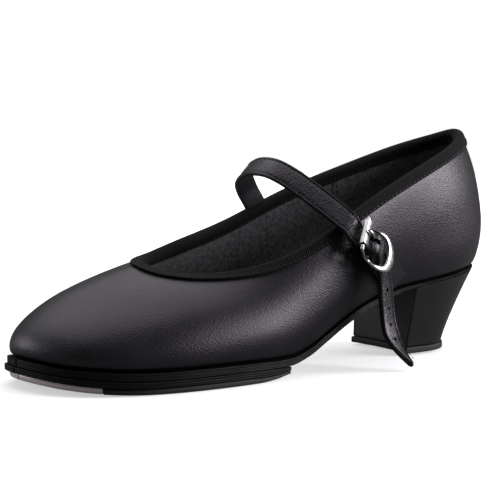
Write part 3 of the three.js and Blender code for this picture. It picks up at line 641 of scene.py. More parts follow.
def ripple(station, rise):
    """The slight unevenness of lasted leather, in millimetres."""
    s = np.asarray(station) * 2 * math.pi / RIB_COUNT
    return (0.10 * np.sin(5 * s + 7 * rise) * np.sin(9 * rise + 2)
            + 0.07 * np.sin(11 * s - 5 * rise + 1) * np.sin(6 * rise)) * np.sin(math.pi * rise)


def upper_rings():
    s = STATIONS[:, None]
    rises = np.concatenate([[0, 0.012, 0.028, ROLL], np.linspace(0.075, 1, 56)])
    roll = -1.0 * np.clip(1 - rises / ROLL, 0, 1)**2
    face = off_wall(s, rises[None], ripple(s, rises[None]) + roll[None])
    back_rises = np.linspace(1, 0.06, 30)
    back = off_wall(s, back_rises[None], np.full(30, -UPPER_THICKNESS)[None])
    under = []
    for inset, lift in ((2.2, 1.1), (MARGIN, 1.1), (MARGIN, 0.0), (1.6, 0.0)):
        points = beside_foot(STATIONS, -inset)
        points[:, 2] = sole_top(points[:, 1]) + SOLE_GAP + lift
        under.append(points[:, None])
    return np.concatenate([face, back, *under], axis=1)


piece("lasted_upper", loft(upper_rings(), closed=True), UPPER_LEATHER, "shoe", ("upper",))

# %% [markdown]
# ## Linings
# The lining is two pieces that meet at the ankle on both sides: a long one round the vamp
# and a heel grip. Each is a thin layer just inside the upper. Their cut ends show inside the
# shoe, so the layers have real ends and a little thickness.

# %% Vamp lining and heel grip
LINING_FACE = -2.5
LINING_BACK = -3.3


def wall_layer(start, end, low, high, outer, inner, rises=28):
    """A layer of the wall between two stations."""
    stations = np.linspace(start, end, int((end - start) * 10) + 1)[:, None]
    up = np.linspace(low, high, rises)
    front = off_wall(stations, up[None], np.full(rises, outer)[None])
    rear = off_wall(stations, up[::-1][None], np.full(rises, inner)[None])
    return np.concatenate([front, rear], axis=1)


piece(
    "forward_lining", loft(wall_layer(3.02, 16.98, 0.06, 1, LINING_FACE, LINING_BACK)), LINING,
    "shoe", ("vamp_lining",))
piece(
    "heel_lining", loft(wall_layer(17.0, 23.0, 0.06, 1, LINING_FACE, LINING_BACK)), LINING,
    "shoe", ("heel_grip",))

# %% [markdown]
# ## Stitches
# A stitch is a short loop of thread that dips into the leather at both ends. At this size a
# small bent bead is enough: a six-sided tube with its ends pulled down. Every row of
# stitching is made by the same helper from points and directions along the row.

# %% A row of stitches
def stitches(points, outs, length=1.9, width=0.34, height=0.22):
    """Beads of thread at points, each along the row and standing out of the surface."""
    points, outs = np.asarray(points, float), unit(np.asarray(outs, float))
    runs = unit(np.gradient(points, axis=0))
    beads = []
    for point, run, out in zip(points, runs, outs):
        side = np.cross(out, run)
        rings = []
        for t in np.linspace(-1, 1, 7):
            swell = math.sqrt(max(0.04, 1 - t * t))
            middle = point + run * (t * length / 2) + out * (height * (swell - 0.45))
            angles = np.arange(6) * math.pi / 3
            rings.append([middle + side * (width / 2 * swell * math.cos(a))
                          + out * (width / 2 * swell * math.sin(a)) for a in angles])
        beads.append((loft(rings), 0))
    return gather(*beads)


def even_places(curve, start, end, pitch, samples=2000):
    """Parameters at an even pitch along a curve, in its own units."""
    t = np.linspace(start, end, samples)
    run = np.concatenate([[0], np.cumsum(np.linalg.norm(np.diff(curve(t), axis=0), axis=1))])
    count = max(2, int(run[-1] / pitch))
    return np.interp((np.arange(count) + 0.5) / count * run[-1], run, t)


print("stitch helper ready")

# %% [markdown]
# ## Binding on the top line
# A ribbed tape is folded over the edge and stitched through. Its section is a long narrow
# arch. The arch is drawn in two directions at each station, outward from the wall and down
# from the rim, and lofted all the way round.

# %% Binding tape
TAPE_OUT = 1.15
TAPE_IN = -4.45
TAPE_THICKNESS = 0.7
TAPE_WIDTH = 4.6


def tape_section():
    """The tape's section as (out, below) pairs: outer leg, top, inner leg, and back inside."""
    middle, half = (TAPE_OUT + TAPE_IN) / 2, (TAPE_OUT - TAPE_IN) / 2
    legs = np.linspace(TAPE_WIDTH, 0.9, 7)
    crown = np.linspace(0, math.pi, 15)[1:-1]
    outside = [(TAPE_OUT, b) for b in legs]
    outside += [(middle + half * math.cos(a), 0.9 - 2.05 * math.sin(a)) for a in crown]
    outside += [(TAPE_IN, b) for b in legs[::-1]]
    inner = half - TAPE_THICKNESS
    inside = [(middle - inner, b) for b in legs]
    inside += [(middle - inner * math.cos(a), 0.9 - (2.05 - TAPE_THICKNESS) * math.sin(a))
               for a in crown]
    inside += [(middle + inner, b) for b in legs[::-1]]
    return np.array(outside + inside)


def off_rim(station, out, below):
    """Points near the top line, below it down the wall or, where below is negative, above."""
    station = np.asarray(station, float)
    up = wall_directions(station, np.ones_like(station))[0]
    tall = np.linalg.norm(up, axis=-1)
    on_wall = off_wall(station, 1 - np.maximum(below, 0) / tall, out)
    return on_wall + unit(up) * np.maximum(-below, 0)[..., None]


tape_stations = np.arange(0, RIB_COUNT, 1 / 20)
section = tape_section()
tape_rings = off_rim(
    np.repeat(tape_stations[:, None], len(section), 1),
    np.broadcast_to(section[:, 0], (len(tape_stations), len(section))),
    np.broadcast_to(section[:, 1], (len(tape_stations), len(section))))
piece("top_line_tape", loft(tape_rings, closed=True), TAPE, "shoe", ("topline_binding",),
      crisp=60)

# %% Binding stitches
def rim_row(out, below):
    def curve(s):
        return off_rim(s, np.full_like(s, out), np.full_like(s, below))
    return curve


def row_on_tape(out, below, facing, pitch=2.5):
    curve = rim_row(out, below)
    s = even_places(curve, 0, RIB_COUNT - 0.001, pitch)
    outs = wall_directions(s, np.full_like(s, 0.95))[2] * facing
    return stitches(curve(s), outs, length=1.7, width=0.3)


outer_row = row_on_tape(TAPE_OUT + 0.02, 3.7, 1)
inner_row = row_on_tape(TAPE_IN - 0.02, 3.7, -1)
piece("tape_stitching", gather((outer_row[:3], 0), (inner_row[:3], 0)), THREAD, "shoe")

# %% [markdown]
# ## Seams inside the shoe
# Two short rows of stitches on the inner side's lining hold the end of the strap, and one row
# runs down each meeting of the linings.

# %% Lining seams and strap anchor rows
def wall_row(station_at, low, high, pitch=2.6):
    def curve(rise):
        return off_wall(station_at(rise), rise, np.full_like(rise, LINING_BACK - 0.05))
    rises = even_places(curve, low, high, pitch)
    outs = -wall_directions(station_at(rises), rises)[2]
    return stitches(curve(rises), outs, length=1.8, width=0.36, height=0.26)[:3]


seam_rows = [
    wall_row(lambda r: 15.22 + 0 * r, 0.47, 0.93),
    wall_row(lambda r: 15.72 + 0 * r, 0.47, 0.93),
    wall_row(lambda r: 2.93 + 0 * r, 0.15, 0.93),
    wall_row(lambda r: 17.07 + 0 * r, 0.15, 0.93)]
piece("lining_stitching", gather(*[(row, 0) for row in seam_rows]), THREAD, "shoe")

# %% [markdown]
# ## Pieces shaped like the sole
# Every layer under the foot has the outline of the feather line, grown or shrunk. A flat
# layer filled with one large face would break over the arch, so the layer is cut into strips
# from the outer side to the inner side, and each strip follows the heights along the shoe.

# %% A layer with the outline of the sole
def sole_layer(bottom_at, top_at, outset, edge, strips=150, columns=9):
    """Rings across the shoe. edge lists (inset, part of the height) from bottom to top."""
    outset_at = outset if callable(outset) else (lambda y: outset + 0 * y)
    halves = (np.arange(strips) + 0.5) / strips * (RIB_COUNT / 2)
    sides = [halves, RIB_COUNT - halves]
    profiles = []
    for stations in sides:
        rows = []
        for inset, part in edge:
            spots = beside_foot(stations, lambda y, i=inset: outset_at(y) - i)
            low, high = bottom_at(spots[:, 1]), top_at(spots[:, 1])
            spots[:, 2] = low + (high - low) * part
            rows.append(spots)
        profiles.append(rows)
    rings = []
    for k in range(strips):
        outer = [row[k] for row in profiles[0]]
        inner = [row[k] for row in profiles[1]]
        across = np.linspace(0, 1, columns + 2)[1:-1, None]
        over = outer[-1] + (inner[-1] - outer[-1]) * across
        under = inner[0] + (outer[0] - inner[0]) * across
        over[:, 2] = top_at(over[:, 1]) + (outer[-1][2] - top_at(outer[-1][1]))
        under[:, 2] = bottom_at(under[:, 1])
        rings.append(np.concatenate([outer, over, inner[::-1], under]))
    return np.array(rings)


SOFT_EDGE = [(0.5, 0), (0.15, 0.1), (0, 0.35), (0, 0.65), (0.15, 0.9), (0.5, 1)]
INNER_INSET = -4.3


def board_top(y):
    return sole_top(y) + 2 * SOLE_GAP + UPPER_THICKNESS + 1.6


def foam_top(y):
    return board_top(y) + 0.3 + 1.6


piece("insole", loft(sole_layer(
    lambda y: board_top(y) - 1.6, board_top, INNER_INSET, [(0, 0), (0, 1)])), BOARD, "shoe",
    ("insole_board",))
cushion = piece("insole_cushion", loft(sole_layer(
    lambda y: board_top(y) + 0.3, foam_top, INNER_INSET, SOFT_EDGE)), FOAM, "shoe",
    ("foam_insole",))
piece("sock", loft(sole_layer(
    lambda y: foam_top(y) + 0.3, lambda y: foam_top(y) + 0.9, INNER_INSET + 0.3,
    [(0.2, 0), (0, 0.5), (0.2, 1)])), SOCK_CLOTH, "shoe", ("sock_lining",))

# %% [markdown]
# ## Outsole
# The outsole is one sheet of leatherboard. Its edge stands out beyond the upper as a narrow
# ledge at the ball and almost vanishes at the heel. Trimming and burnishing leave shallow
# grooves along the edge, cut here as real steps of a few hundredths of a millimetre.

# %% Outsole
def grooved_edge(lines, groove, rounding):
    """An edge with lines of shallow grooves between two rounded corners."""
    rows = [(rounding + 0.3, 0.0), (rounding * 0.3, 0.02), (0.0, 0.10)]
    for k in range(lines):
        at = 0.14 + 0.72 * k / max(1, lines - 1)
        rows += [(0.0, at), (groove, at + 0.22 / lines), (groove, at + 0.36 / lines),
                 (0.0, at + 0.55 / lines)]
    rows = [r for r in rows if r[1] < 0.9]
    return rows + [(0.0, 0.92), (rounding * 0.35, 0.985), (rounding + 0.3, 1.0)]


def ledge(y):
    return along(LEDGE, y)


piece("outsole_sheet", loft(sole_layer(
    outsole_underside, sole_top, ledge, grooved_edge(4, 0.09, 0.25), strips=190)), SOLE_EDGE,
    "shoe", ("outsole",))

# %% [markdown]
# ## Tap board, toe tap and rubber pad
# The forepart is built up with a board that the tap is screwed to. The tap is a cast plate
# with a dished rim, let in flush with the rubber pad behind it. All three share the sole's
# outline, so they are cut from the same kind of layer by their place along the shoe.

# %% Tap board and rubber pad
FOREPART_END = -12
SWEEP_MIDDLE, SWEEP_RADIUS = (-5, -162), 70


def tread(y):
    return along(TREAD, y)


def tread_top(y):
    return along(TREAD, y) + along(TREAD_THICKNESS, y)


def cut_by(target, cutters, keep_inside=False):
    """Cuts tools out of a piece, or keeps what is inside them, and bakes the result."""
    for cutter in cutters:
        step = target.modifiers.new("cut", "BOOLEAN")
        step.operation = "INTERSECT" if keep_inside else "DIFFERENCE"
        step.solver = "EXACT"
        step.object = cutter
    shaped = target.evaluated_get(bpy.context.evaluated_depsgraph_get())
    mesh = bpy.data.meshes.new_from_object(shaped)
    target.modifiers.clear()
    target.data = mesh
    mesh.set_sharp_from_angle(angle=math.radians(34))
    for cutter in cutters:
        bpy.data.objects.remove(cutter)
    print(target.name, "cut to", len(mesh.polygons), "faces")
    return target


def tool(name, shape):
    """A cutting tool: a plain mesh that is thrown away after use."""
    mesh = bpy.data.meshes.new(name)
    mesh.from_pydata(metres(shape[0]).tolist(), [], shape[1])
    volume = sum(p.area * p.center.dot(p.normal) for p in mesh.polygons)
    if volume < 0:
        mesh.flip_normals()
    made = bpy.data.objects.new(name, mesh)
    bpy.context.scene.collection.objects.link(made)
    return made


def upright_disc(middle, radius, bottom, top, sides=128):
    angles = np.arange(sides) * 2 * math.pi / sides
    ring = np.stack([middle[0] + radius * np.cos(angles), middle[1] + radius * np.sin(angles)], 1)
    return loft([np.column_stack([ring, np.full(sides, z)]) for z in (bottom, top)])


def brick(low, high):
    (x0, y0, z0), (x1, y1, z1) = low, high
    return loft([[(x0, y0, z), (x1, y0, z), (x1, y1, z), (x0, y1, z)] for z in (z0, z1)])


behind = brick((-60, FOREPART_END, -10), (60, 130, 60))
board = piece("tap_build_up", loft(sole_layer(
    lambda y: tread_top(y) + 0.3, lambda y: outsole_underside(y) - 0.3,
    lambda y: ledge(y) + along(BOARD_LIP, y), grooved_edge(3, 0.08, 0.3), strips=190)),
    SOLE_EDGE, "shoe", ("tap_board",))
cut_by(board, [tool("behind_board", behind)])
pad = piece("forepart_pad", loft(sole_layer(
    tread, tread_top, lambda y: ledge(y) - 0.3, SOFT_EDGE, strips=190)), RUBBER, "shoe",
    ("rubber_pad",))
cut_by(pad, [tool("behind_pad", behind), tool(
    "tap_place", upright_disc(SWEEP_MIDDLE, SWEEP_RADIUS + 0.3, -20, 40))])

# %% Toe tap
TAP_SCREWS = [(-8, -110), (14, -100), (-27, -99)]


def screw_sinks(places, bottom_at):
    return [tool("sink", upright_disc(p, 2.3, bottom_at(p[1]) - 3, bottom_at(p[1]) + 1.25, 40))
            for p in places]


tap = piece("cast_toe_tap", loft(sole_layer(
    tread, tread_top, lambda y: ledge(y) - 1.1,
    [(2.4, 0.30), (1.7, 0.26), (1.1, 0.0), (0.5, 0.06), (0.1, 0.3), (0, 0.5), (0, 0.85), (0.2, 1)],
    strips=190)), TAP_ALLOY_PAINTED_REFLECTION, "shoe", ("toe_tap",))
cut_by(tap, [tool("tap_sweep", upright_disc(SWEEP_MIDDLE, SWEEP_RADIUS, -20, 40))],
       keep_inside=True)
cut_by(tap, screw_sinks(TAP_SCREWS, tread))

# %% [markdown]
# ## Screws
# Countersunk screws with a cross recess hold the taps. A turned shape is the natural way to
# make one: a profile spun round the screw's axis, with the recess cut from the head.

# %% Turned shapes and screws
def spun(profile, place, sides=32):
    """A profile of (radius, height) spun round an upright axis at a place in the plan."""
    angles = np.arange(sides) * 2 * math.pi / sides
    return loft([[(place[0] + r * math.cos(a), place[1] + r * math.sin(a), z) for a in angles]
                 for r, z in profile])


def screw_piece(name, place, face, length, node):
    profile = [(0.4, face), (1.7, face), (1.9, face + 0.15), (1.1, face + 0.95),
               (1.1, face + length - 1.6), (0.1, face + length)]
    made = piece(name, spun(profile, place, 28), STEEL, "shoe", (node,))
    x, y = place
    arms = [brick((x - 1.2, y - 0.25, face - 1), (x + 1.2, y + 0.25, face + 0.5)),
            brick((x - 0.25, y - 1.2, face - 1), (x + 0.25, y + 1.2, face + 0.5))]
    cut_by(made, [tool("recess", arm) for arm in arms])
    return made


for n, spot in enumerate(TAP_SCREWS, 1):
    screw_piece(f"tap_screw_{n}", spot, float(tread(spot[1])) + 0.15, 6.6, f"toe_tap_screw_{n}")

# %% [markdown]
# ## Heel
# The heel is a moulded block, flared at the top, hollowed a little at the breast and cut off
# flat where the top piece goes on. It is lofted from outlines at many levels. The breast's
# corners stay crisp, and the back is a soft curve.

# %% Heel outline
HEEL_BOTTOM = dict(half=20.4, middle=0.1, breast=65.6, widest=76, back=96.6)
HEEL_TOP = dict(half=24.2, middle=1.4, breast=67.2, widest=80, back=114.6)
HEEL_BLOCK_BOTTOM = 4.0


def heel_outline(level, outset=0.0, corner=0.7):
    """The heel's outline at a level from 0 at the top piece to 1 at the seat."""
    def mix(key, power=1.0):
        return HEEL_BOTTOM[key] + (HEEL_TOP[key] - HEEL_BOTTOM[key]) * level**power
    half, back = mix("half", 1.4) + outset, mix("back", 1.25) + outset
    breast, widest = mix("breast") - outset, mix("widest")
    side = [(half * x, breast + 1.6 * (1 - x * x)) for x in np.linspace(0.05, 0.955, 14)]
    side += [(half - corner * (1 - math.sin(a)), breast + corner * (1 - math.cos(a)))
             for a in np.linspace(0.25, math.pi / 2, 5)]
    side += [(half, y) for y in np.linspace(breast + corner + 1.5, widest - 0.5, 6)]
    for a in np.linspace(0.02, 0.97, 34) * math.pi / 2:
        side.append((half * math.cos(a)**0.95, widest + (back - widest) * math.sin(a)**0.95))
    side = np.array(side)
    middle = mix("middle")
    return np.concatenate([side + [middle, 0], (side * [-1, 1] + [middle, 0])[::-1]])


def heel_rings():
    rings = []
    for level in np.concatenate([[0, 0.004, 0.012], np.linspace(0.03, 0.985, 26), [0.997, 1]]):
        inset = -0.25 if level in (0, 1) else (-0.06 if level in (0.004, 0.997) else 0)
        plan = heel_outline(level, inset)
        seat = outsole_underside(plan[:, 1]) - 0.3
        z = HEEL_BLOCK_BOTTOM + (seat - HEEL_BLOCK_BOTTOM) * level
        rings.append(np.column_stack([plan, z]))
    return rings


piece("heel_body", loft(heel_rings()), HEEL_LACQUER, "shoe", ("heel_block",), crisp=30)

# %% Top piece and heel tap
def heel_slab(levels):
    """A slab shaped like the heel's foot, from (height, outset) pairs."""
    return loft([np.column_stack([heel_outline(0, out), np.full(len(heel_outline(0)), z)])
                 for z, out in levels])


HEEL_TAP_SCREWS = [(0.1, 89), (-11, 72.5), (11, 72.5)]
top_piece = piece("top_piece", heel_slab(
    [(0.9, 0.2), (1.0, 0.5), (1.3, 0.62), (3.3, 0.62), (3.6, 0.5), (3.7, 0.2)]), RUBBER, "shoe",
    ("heel_top_piece",))
cut_by(top_piece, [tool("tap_pocket", heel_slab([(-1, -2.9), (2.5, -2.9)]))])
heel_tap = piece("cast_heel_tap", heel_slab(
    [(0.0, -4.2), (0.0, -3.7), (0.15, -3.35), (0.5, -3.2), (2.2, -3.2)]), TAP_ALLOY_PAINTED_REFLECTION, "shoe",
    ("heel_tap",))
cut_by(heel_tap, screw_sinks(HEEL_TAP_SCREWS, lambda y: 0.0))
for n, spot in enumerate(HEEL_TAP_SCREWS, 1):
    screw_piece(f"heel_screw_{n}", spot, 0.15, 10.0, f"heel_tap_screw_{n}")

# %% [markdown]
# ## Buckle
# The buckle is one cast loop: a narrow front half that the strap slides under, a waist at
# the bar, and a round D at the back that widens to a flat band. A rolled sleeve sits on the
# front bar and is fixed to the loop, and a bent prong turns on the pivot bar. All of it is drawn
# in the buckle's own directions: along the strap, across it, and outward.

# %% The buckle's own directions
BUCKLE_AT = np.array([39.9, 28.75, 55.5])
buckle_along = unit(np.array([-0.106, 0.754, -0.647]))
buckle_up = unit(np.cross([0.9, 0.354, 0.265], buckle_along))
buckle_out = np.cross(buckle_along, buckle_up)
BUCKLE_TURN = np.stack([buckle_along, buckle_up, buckle_out])


def at_buckle(points):
    """Points given along, across and out of the buckle, in last millimetres."""
    return np.asarray(points, float) @ BUCKLE_TURN + BUCKLE_AT


def turned_in(shape):
    """A loft made in the buckle's directions, moved to its place."""
    return (at_buckle(shape[0]), *shape[1:])


FRAME_HALF = [
    (-8.0, 3.6, 3.0, 0.85), (-8.0, 8.3, 3.0, 0.85), (-6.0, 9.0, 2.3, 0.8), (-2.8, 8.6, 0.7, 0.8),
    (0, 8.0, 0.0, 0.9), (2.0, 8.5, 0.6, 0.9), (4.4, 9.0, 1.7, 1.0), (7.4, 8.4, 2.6, 1.3),
    (9.9, 6.6, 2.9, 1.75), (11.7, 3.8, 3.0, 2.15)]
frame_path = FRAME_HALF + [(12.3, 0, 3.0, 2.35)] + [
    (x, -y, z, half) for x, y, z, half in reversed(FRAME_HALF)]
print("the buckle's loop has", len(frame_path), "handles")

# %% Buckle loop
def band_rings(steps=220, corners=20):
    """Rings of the loop's band: flat inside, softly domed on its face."""
    line = smooth_ring([p[:3] for p in frame_path])
    width = smooth_ring([(p[3], 0, 0) for p in frame_path])
    t = np.arange(steps) / steps * len(frame_path)
    middle = line(t)
    run = unit(line(t + 0.05) - line(t - 0.05))
    side = unit(np.cross(run, [0, 0, 1]))
    half = width(t)[:, 0]
    angles = (np.arange(corners) + 0.5) / corners * 2 * math.pi
    squared = np.sign(np.cos(angles)) * np.abs(np.cos(angles))**0.7
    rounded = np.sign(np.sin(angles)) * np.abs(np.sin(angles))**0.8
    rise = 0.8 * np.where(rounded > 0, rounded, rounded * 0.85)
    return (middle[:, None] + side[:, None] * (half[:, None] * squared)[..., None]
            + np.array([0, 0, 1.0]) * rise[None, :, None])


piece("buckle_loop", turned_in(loft(band_rings(), closed=True)), NICKEL, "buckle_frame",
      ("buckle_frame",), crisp=60)

# %% Sleeve and pivot bar
def box_tube(x, z, width, height, length, wall_thick, rounding=0.45):
    """A rectangular rolled tube along the bar, with soft corners and an open bore."""
    def outline(w, h, r):
        corners = []
        for cx, cz, start in ((1, 1, 0), (-1, 1, 90), (-1, -1, 180), (1, -1, 270)):
            for a in np.radians([start, start + 30, start + 60, start + 90]):
                corners.append((x + cx * (w / 2 - r) + r * math.cos(a),
                                z + cz * (h / 2 - r) + r * math.sin(a)))
        return corners
    outer = outline(width, height, rounding)
    chamfer = outline(width - 0.3, height - 0.3, rounding)
    bore = outline(width - 2 * wall_thick, height - 2 * wall_thick, 0.2)
    ends = length / 2
    levels = [(bore, -ends + 0.1), (chamfer, -ends), (outer, -ends + 0.2),
              (outer, ends - 0.2), (chamfer, ends), (bore, ends - 0.1)]
    return [[(px, y, pz) for px, pz in shape] for shape, y in levels]


piece("front_sleeve", turned_in(loft(box_tube(-8.0, 3.25, 3.6, 2.7, 13.2, 0.4), closed=True)),
      NICKEL, "buckle_frame", ("buckle_sleeve",), crisp=28)


def bar_rings(radius, ends, sides=28):
    """A round bar along the pivot, with its end edges eased."""
    angles = np.arange(sides) * 2 * math.pi / sides
    return [[(r * math.cos(a), y, r * math.sin(a)) for a in angles]
            for r, y in ((radius - 0.2, -ends), (radius, -ends + 0.2), (radius, ends - 0.2),
                         (radius - 0.2, ends))]


piece("pivot_bar", turned_in(loft(bar_rings(1.0, 6.9))), NICKEL, "buckle_frame",
      ("buckle_pivot_bar",))

# %% Prong
def open_curve(points):
    """A curve through points with its pace set by their spacing, so that it never loops."""
    points = np.array(points, float)
    points = np.concatenate([[2 * points[0] - points[1]], points, [2 * points[-1] - points[-2]]])
    gaps = np.linalg.norm(np.diff(points, axis=0), axis=1)**0.5
    gaps[gaps < 1e-4] = 1.0

    def at(t):
        place = np.clip(np.asarray(t, float), 0, 1) * (len(points) - 3)
        i = np.minimum(np.floor(place).astype(int), len(points) - 4)
        w = (place - i)[..., None]
        p0, p1, p2, p3 = (points[i + k] for k in range(4))
        g0, g1, g2 = (gaps[i + k][..., None] for k in range(3))
        m1 = ((p1 - p0) / g0 - (p2 - p0) / (g0 + g1) + (p2 - p1) / g1) * g1
        m2 = ((p2 - p1) / g1 - (p3 - p1) / (g1 + g2) + (p3 - p2) / g2) * g1
        return ((2 * w**3 - 3 * w**2 + 1) * p1 + (w**3 - 2 * w**2 + w) * m1
                + (3 * w**2 - 2 * w**3) * p2 + (w**3 - w**2) * m2)
    return at


PRONG_PATH = [(0.2, 1.7), (-1.2, 1.8), (-2.4, 3.0), (-4, 4.9), (-6, 5.85), (-8.2, 5.9), (-9.6, 5.3)]


def prong_shape(steps=40, sides=16):
    line = open_curve([(x, 0, z) for x, z in PRONG_PATH])
    t = np.linspace(0, 1, steps)
    middle = line(t)
    run = unit(line(np.minimum(t + 0.01, 1)) - line(np.maximum(t - 0.01, 0)))
    over = np.cross(run, [0, 1.0, 0])
    tip = np.sqrt(np.clip(1 - ((t - 0.93) / 0.07).clip(0, 0.97)**2, 0, 1))
    wide, thick = (0.9 - 0.2 * t) * tip, (0.58 - 0.1 * t) * tip
    angles = np.arange(sides) * 2 * math.pi / sides
    wire = (middle[:, None]
            + np.array([0, 1.0, 0]) * (wide[:, None] * np.cos(angles))[..., None]
            + over[:, None] * (thick[:, None] * np.sin(angles))[..., None])
    turns = np.arange(36) * 2 * math.pi / 36
    section = [(1.3, -0.75), (1.45, -0.9), (1.95, -0.9), (2.1, -0.75), (2.1, 0.75), (1.95, 0.9),
               (1.45, 0.9), (1.3, 0.75)]
    eye = [[(r * math.cos(a), y, r * math.sin(a)) for r, y in section] for a in turns]
    return gather((loft(wire), 0), (loft(eye, closed=True), 0))


piece("buckle_prong", turned_in(prong_shape()), NICKEL, "prong", ("prong",), crisp=50)

# %% [markdown]
# ## Instep strap
# The strap is one long narrow piece with its edges folded over, which leaves a raised bead
# down each side with a stitched groove beside it. It leaves the inner side between lining
# and upper, crosses the instep, goes under the front bar, over the pivot and under the D,
# and its free end hangs. It is swept along its route with its width direction given at every
# turn, because a plain sweep would twist. The under layer is a separate skin of softer
# leather.

# %% The strap's route
INNER_EDGE = (0.03, -0.93, -0.37)
INSTEP_EDGE = (0.07, -0.77, -0.64)
BUCKLE_EDGE = (0.426, -0.548, -0.717)
TAIL_EDGE = (0.42, -0.9, -0.1)


def near(x, y, z):
    return tuple(at_buckle([x, y, z]))


STRAP_ROUTE = [
    ((-31.4, 15.8, 70.2), INNER_EDGE), ((-30, 11, 76.6), INNER_EDGE),
    ((-24.5, 5.6, 82.6), INSTEP_EDGE), ((-15, 2.2, 86.6), INSTEP_EDGE),
    ((-5, 0.9, 88.4), INSTEP_EDGE), ((4.5, 1.8, 87.8), INSTEP_EDGE),
    ((13, 6, 83.6), INSTEP_EDGE), ((22.5, 11.4, 76.8), (0.15, -0.7, -0.68)),
    ((30.4, 16.2, 70.6), (0.24, -0.65, -0.7)), ((36.4, 19.8, 65.3), (0.34, -0.6, -0.71)),
    (near(-8, 0, -1.5), BUCKLE_EDGE), (near(-4, 0, 1.4), BUCKLE_EDGE),
    (near(0, 0, 4), BUCKLE_EDGE), (near(3.6, -0.5, 3.1), BUCKLE_EDGE),
    (near(7.4, -1.7, 1.0), BUCKLE_EDGE), (near(12, -4, 0), (0.43, -0.65, -0.6)),
    ((40, 36.8, 40), (0.43, -0.8, -0.35)), ((40.1, 37.5, 33), TAIL_EDGE),
    ((40.6, 38, 25.4), TAIL_EDGE), ((42.1, 38, 19), TAIL_EDGE), ((45, 38.3, 13), TAIL_EDGE),
    ((49.1, 40.4, 7), (0.5, -0.86, -0.1)), ((53.2, 42.8, 2), (0.6, -0.79, -0.1))]
strap_line = open_curve([at for at, _ in STRAP_ROUTE])
strap_edge = open_curve([edge for _, edge in STRAP_ROUTE])


def strap_frame(t):
    """The strap's middle, front-edge direction, outward direction and run."""
    t = np.asarray(t, float)
    run = unit(strap_line(t + 1e-4) - strap_line(t - 1e-4))
    edge = strap_edge(t)
    edge = unit(edge - run * (edge * run).sum(-1, keepdims=True))
    return strap_line(t), edge, np.cross(edge, run), run


t_dense = np.linspace(0, 1, 3000)
route_length = np.linalg.norm(np.diff(strap_line(t_dense), axis=0), axis=1).sum()
print("the strap is", round(float(route_length)), "mm long outside the shoe")

# %% Strap layers
STRAP_HALF = 5.3
TIP = 18  # the length over which the strap narrows to its end
BEAD = [
    (1.00, 0.26), (1.00, 0.80), (0.985, 1.12), (0.95, 1.31), (0.905, 1.36), (0.86, 1.28),
    (0.82, 1.02), (0.79, 0.88), (0.76, 0.90), (0.70, 1.08), (0.50, 1.21), (0.25, 1.25)]
TOP_SECTION = BEAD + [(0.0, 1.25)] + [(-s, lift) for s, lift in reversed(BEAD)]
UNDER_SECTION = [
    (0.985, -0.15), (0.97, -0.75), (0.93, -0.98), (0.85, -1.06), (0.0, -1.06), (-0.85, -1.06),
    (-0.93, -0.98), (-0.97, -0.75), (-0.985, -0.15)]


def strap_places(steps=420):
    """Places along the strap, even in length, with more near the rounded tip."""
    run = np.concatenate([[0], np.cumsum(
        np.linalg.norm(np.diff(strap_line(t_dense), axis=0), axis=1))])
    wanted = np.concatenate([
        np.linspace(0, run[-1] - 6, steps), run[-1] - 6 * (1 - np.linspace(0, 1, 30)[1:])**1.5])
    return np.interp(wanted, run, t_dense), run[-1] - wanted


def strap_layer(section, root_drop=6.0):
    t, to_tip = strap_places()
    middle, edge, out, run = strap_frame(t)
    point = np.where(to_tip < TIP, 0.06 + 0.94 * (np.maximum(to_tip, 0) / TIP)**0.85, 1.0)
    section = np.array(section)
    flat = np.where(to_tip < 1.2, 0.4 + 0.6 * to_tip / 1.2, 1.0)
    rings = (middle[:, None]
             + edge[:, None] * (point[:, None] * STRAP_HALF * section[:, 0])[..., None]
             + out[:, None] * (flat[:, None] * section[:, 1])[..., None])
    root = [rings[0] - run[0] * root_drop * part for part in (1.0, 0.66, 0.33)]
    return np.concatenate([np.stack(root), rings])


def strap_row(side, lift, pitch=2.1, start=0.02, end=0.985):
    def curve(t):
        middle, edge, out, _ = strap_frame(t)
        return middle + edge * (side * STRAP_HALF) + out * lift
    t = even_places(curve, start, end, pitch)
    return stitches(curve(t), strap_frame(t)[2], length=1.5, width=0.3, height=0.16)[:3]


top_layer, under_layer = loft(strap_layer(TOP_SECTION)), loft(strap_layer(UNDER_SECTION))
print("strap layers swept")

# %% Punched holes
HOLES = (0.76, 0.81, 0.86, 0.91)


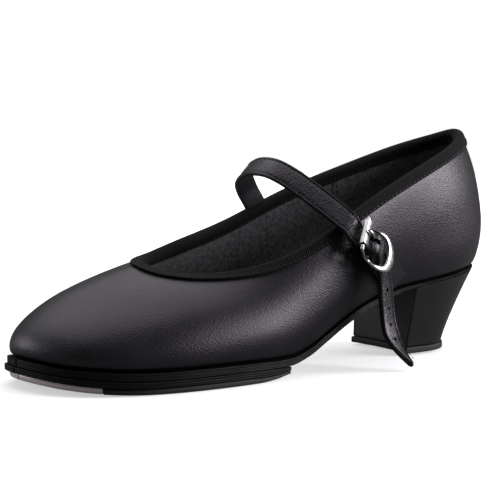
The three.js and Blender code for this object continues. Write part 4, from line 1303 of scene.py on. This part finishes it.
def hole_punch(t, radius=0.95, sides=28):
    middle, edge, out, run = strap_frame(t)
    angles = np.arange(sides) * 2 * math.pi / sides
    ring = edge * np.cos(angles)[:, None] * radius + run * np.sin(angles)[:, None] * radius
    return loft([middle + ring - out * 4, middle + ring + out * 4])


def prong_slot():
    """The hole that the prong stands in, drawn out by wear along the strap."""
    corners = [(-6.0, -1.0), (-5.5, -1.3), (0.3, -1.3), (0.8, -1.0), (0.8, 1.0), (0.3, 1.3),
               (-5.5, 1.3), (-6.0, 1.0)]
    return turned_in(loft([[(x, y, z) for x, y in corners] for z in (-3, 8)]))


for name, layer, finish, nodes in (
        ("instep_strap", top_layer, STRAP_LEATHER, ("strap",)),
        ("strap_under_layer", under_layer, STRAP_BACK, ("strap_lining",))):
    layer_piece = piece(name, layer, finish, None, nodes, crisp=50)
    cutters = [tool("punch", hole_punch(t)) for t in HOLES] + [tool("slot", prong_slot())]
    cut_by(layer_piece, cutters)
strap = bpy.data.objects["instep_strap"]
strap_under = bpy.data.objects["strap_under_layer"]
strap_stitching = piece(
    "strap_stitching", gather((strap_row(0.79, 0.95), 0), (strap_row(-0.79, 0.95), 0)), THREAD,
    None)

# %% The strap pieces' placement baked into their meshes
for layer_piece, slot_name in (
        (strap, "strap_leather"), (strap_under, "upper_leather"),
        (strap_stitching, "strap_leather")):
    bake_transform(layer_piece)

# %% [markdown]
# ## Measured pieces that keep their shape
# Some of the measured solids are already right: the tab under the buckle, the stiffeners,
# the shank and its rivets, the nails and the filler. Each keeps its mesh and takes a finish.

# %% Finishes for the measured pieces
KEPT = {
    TAB_LEATHER: ("buckle_tab", "strap_anchor"),
    BOARD: ("toe_puff", "heel_counter"),
    CORK: ("bottom_filler",),
    STEEL: ("shank", "shank_rivet_1", "shank_rivet_2", "heel_screw", "heel_nail_1",
            "heel_nail_2", "heel_nail_3", "heel_nail_4")}
for finish, names in KEPT.items():
    for name in names:
        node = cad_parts[name]
        for holder in node.material_slots:
            holder.link = "OBJECT"
            holder.material = finish
print(sum(len(names) for names in KEPT.values()), "measured pieces kept")
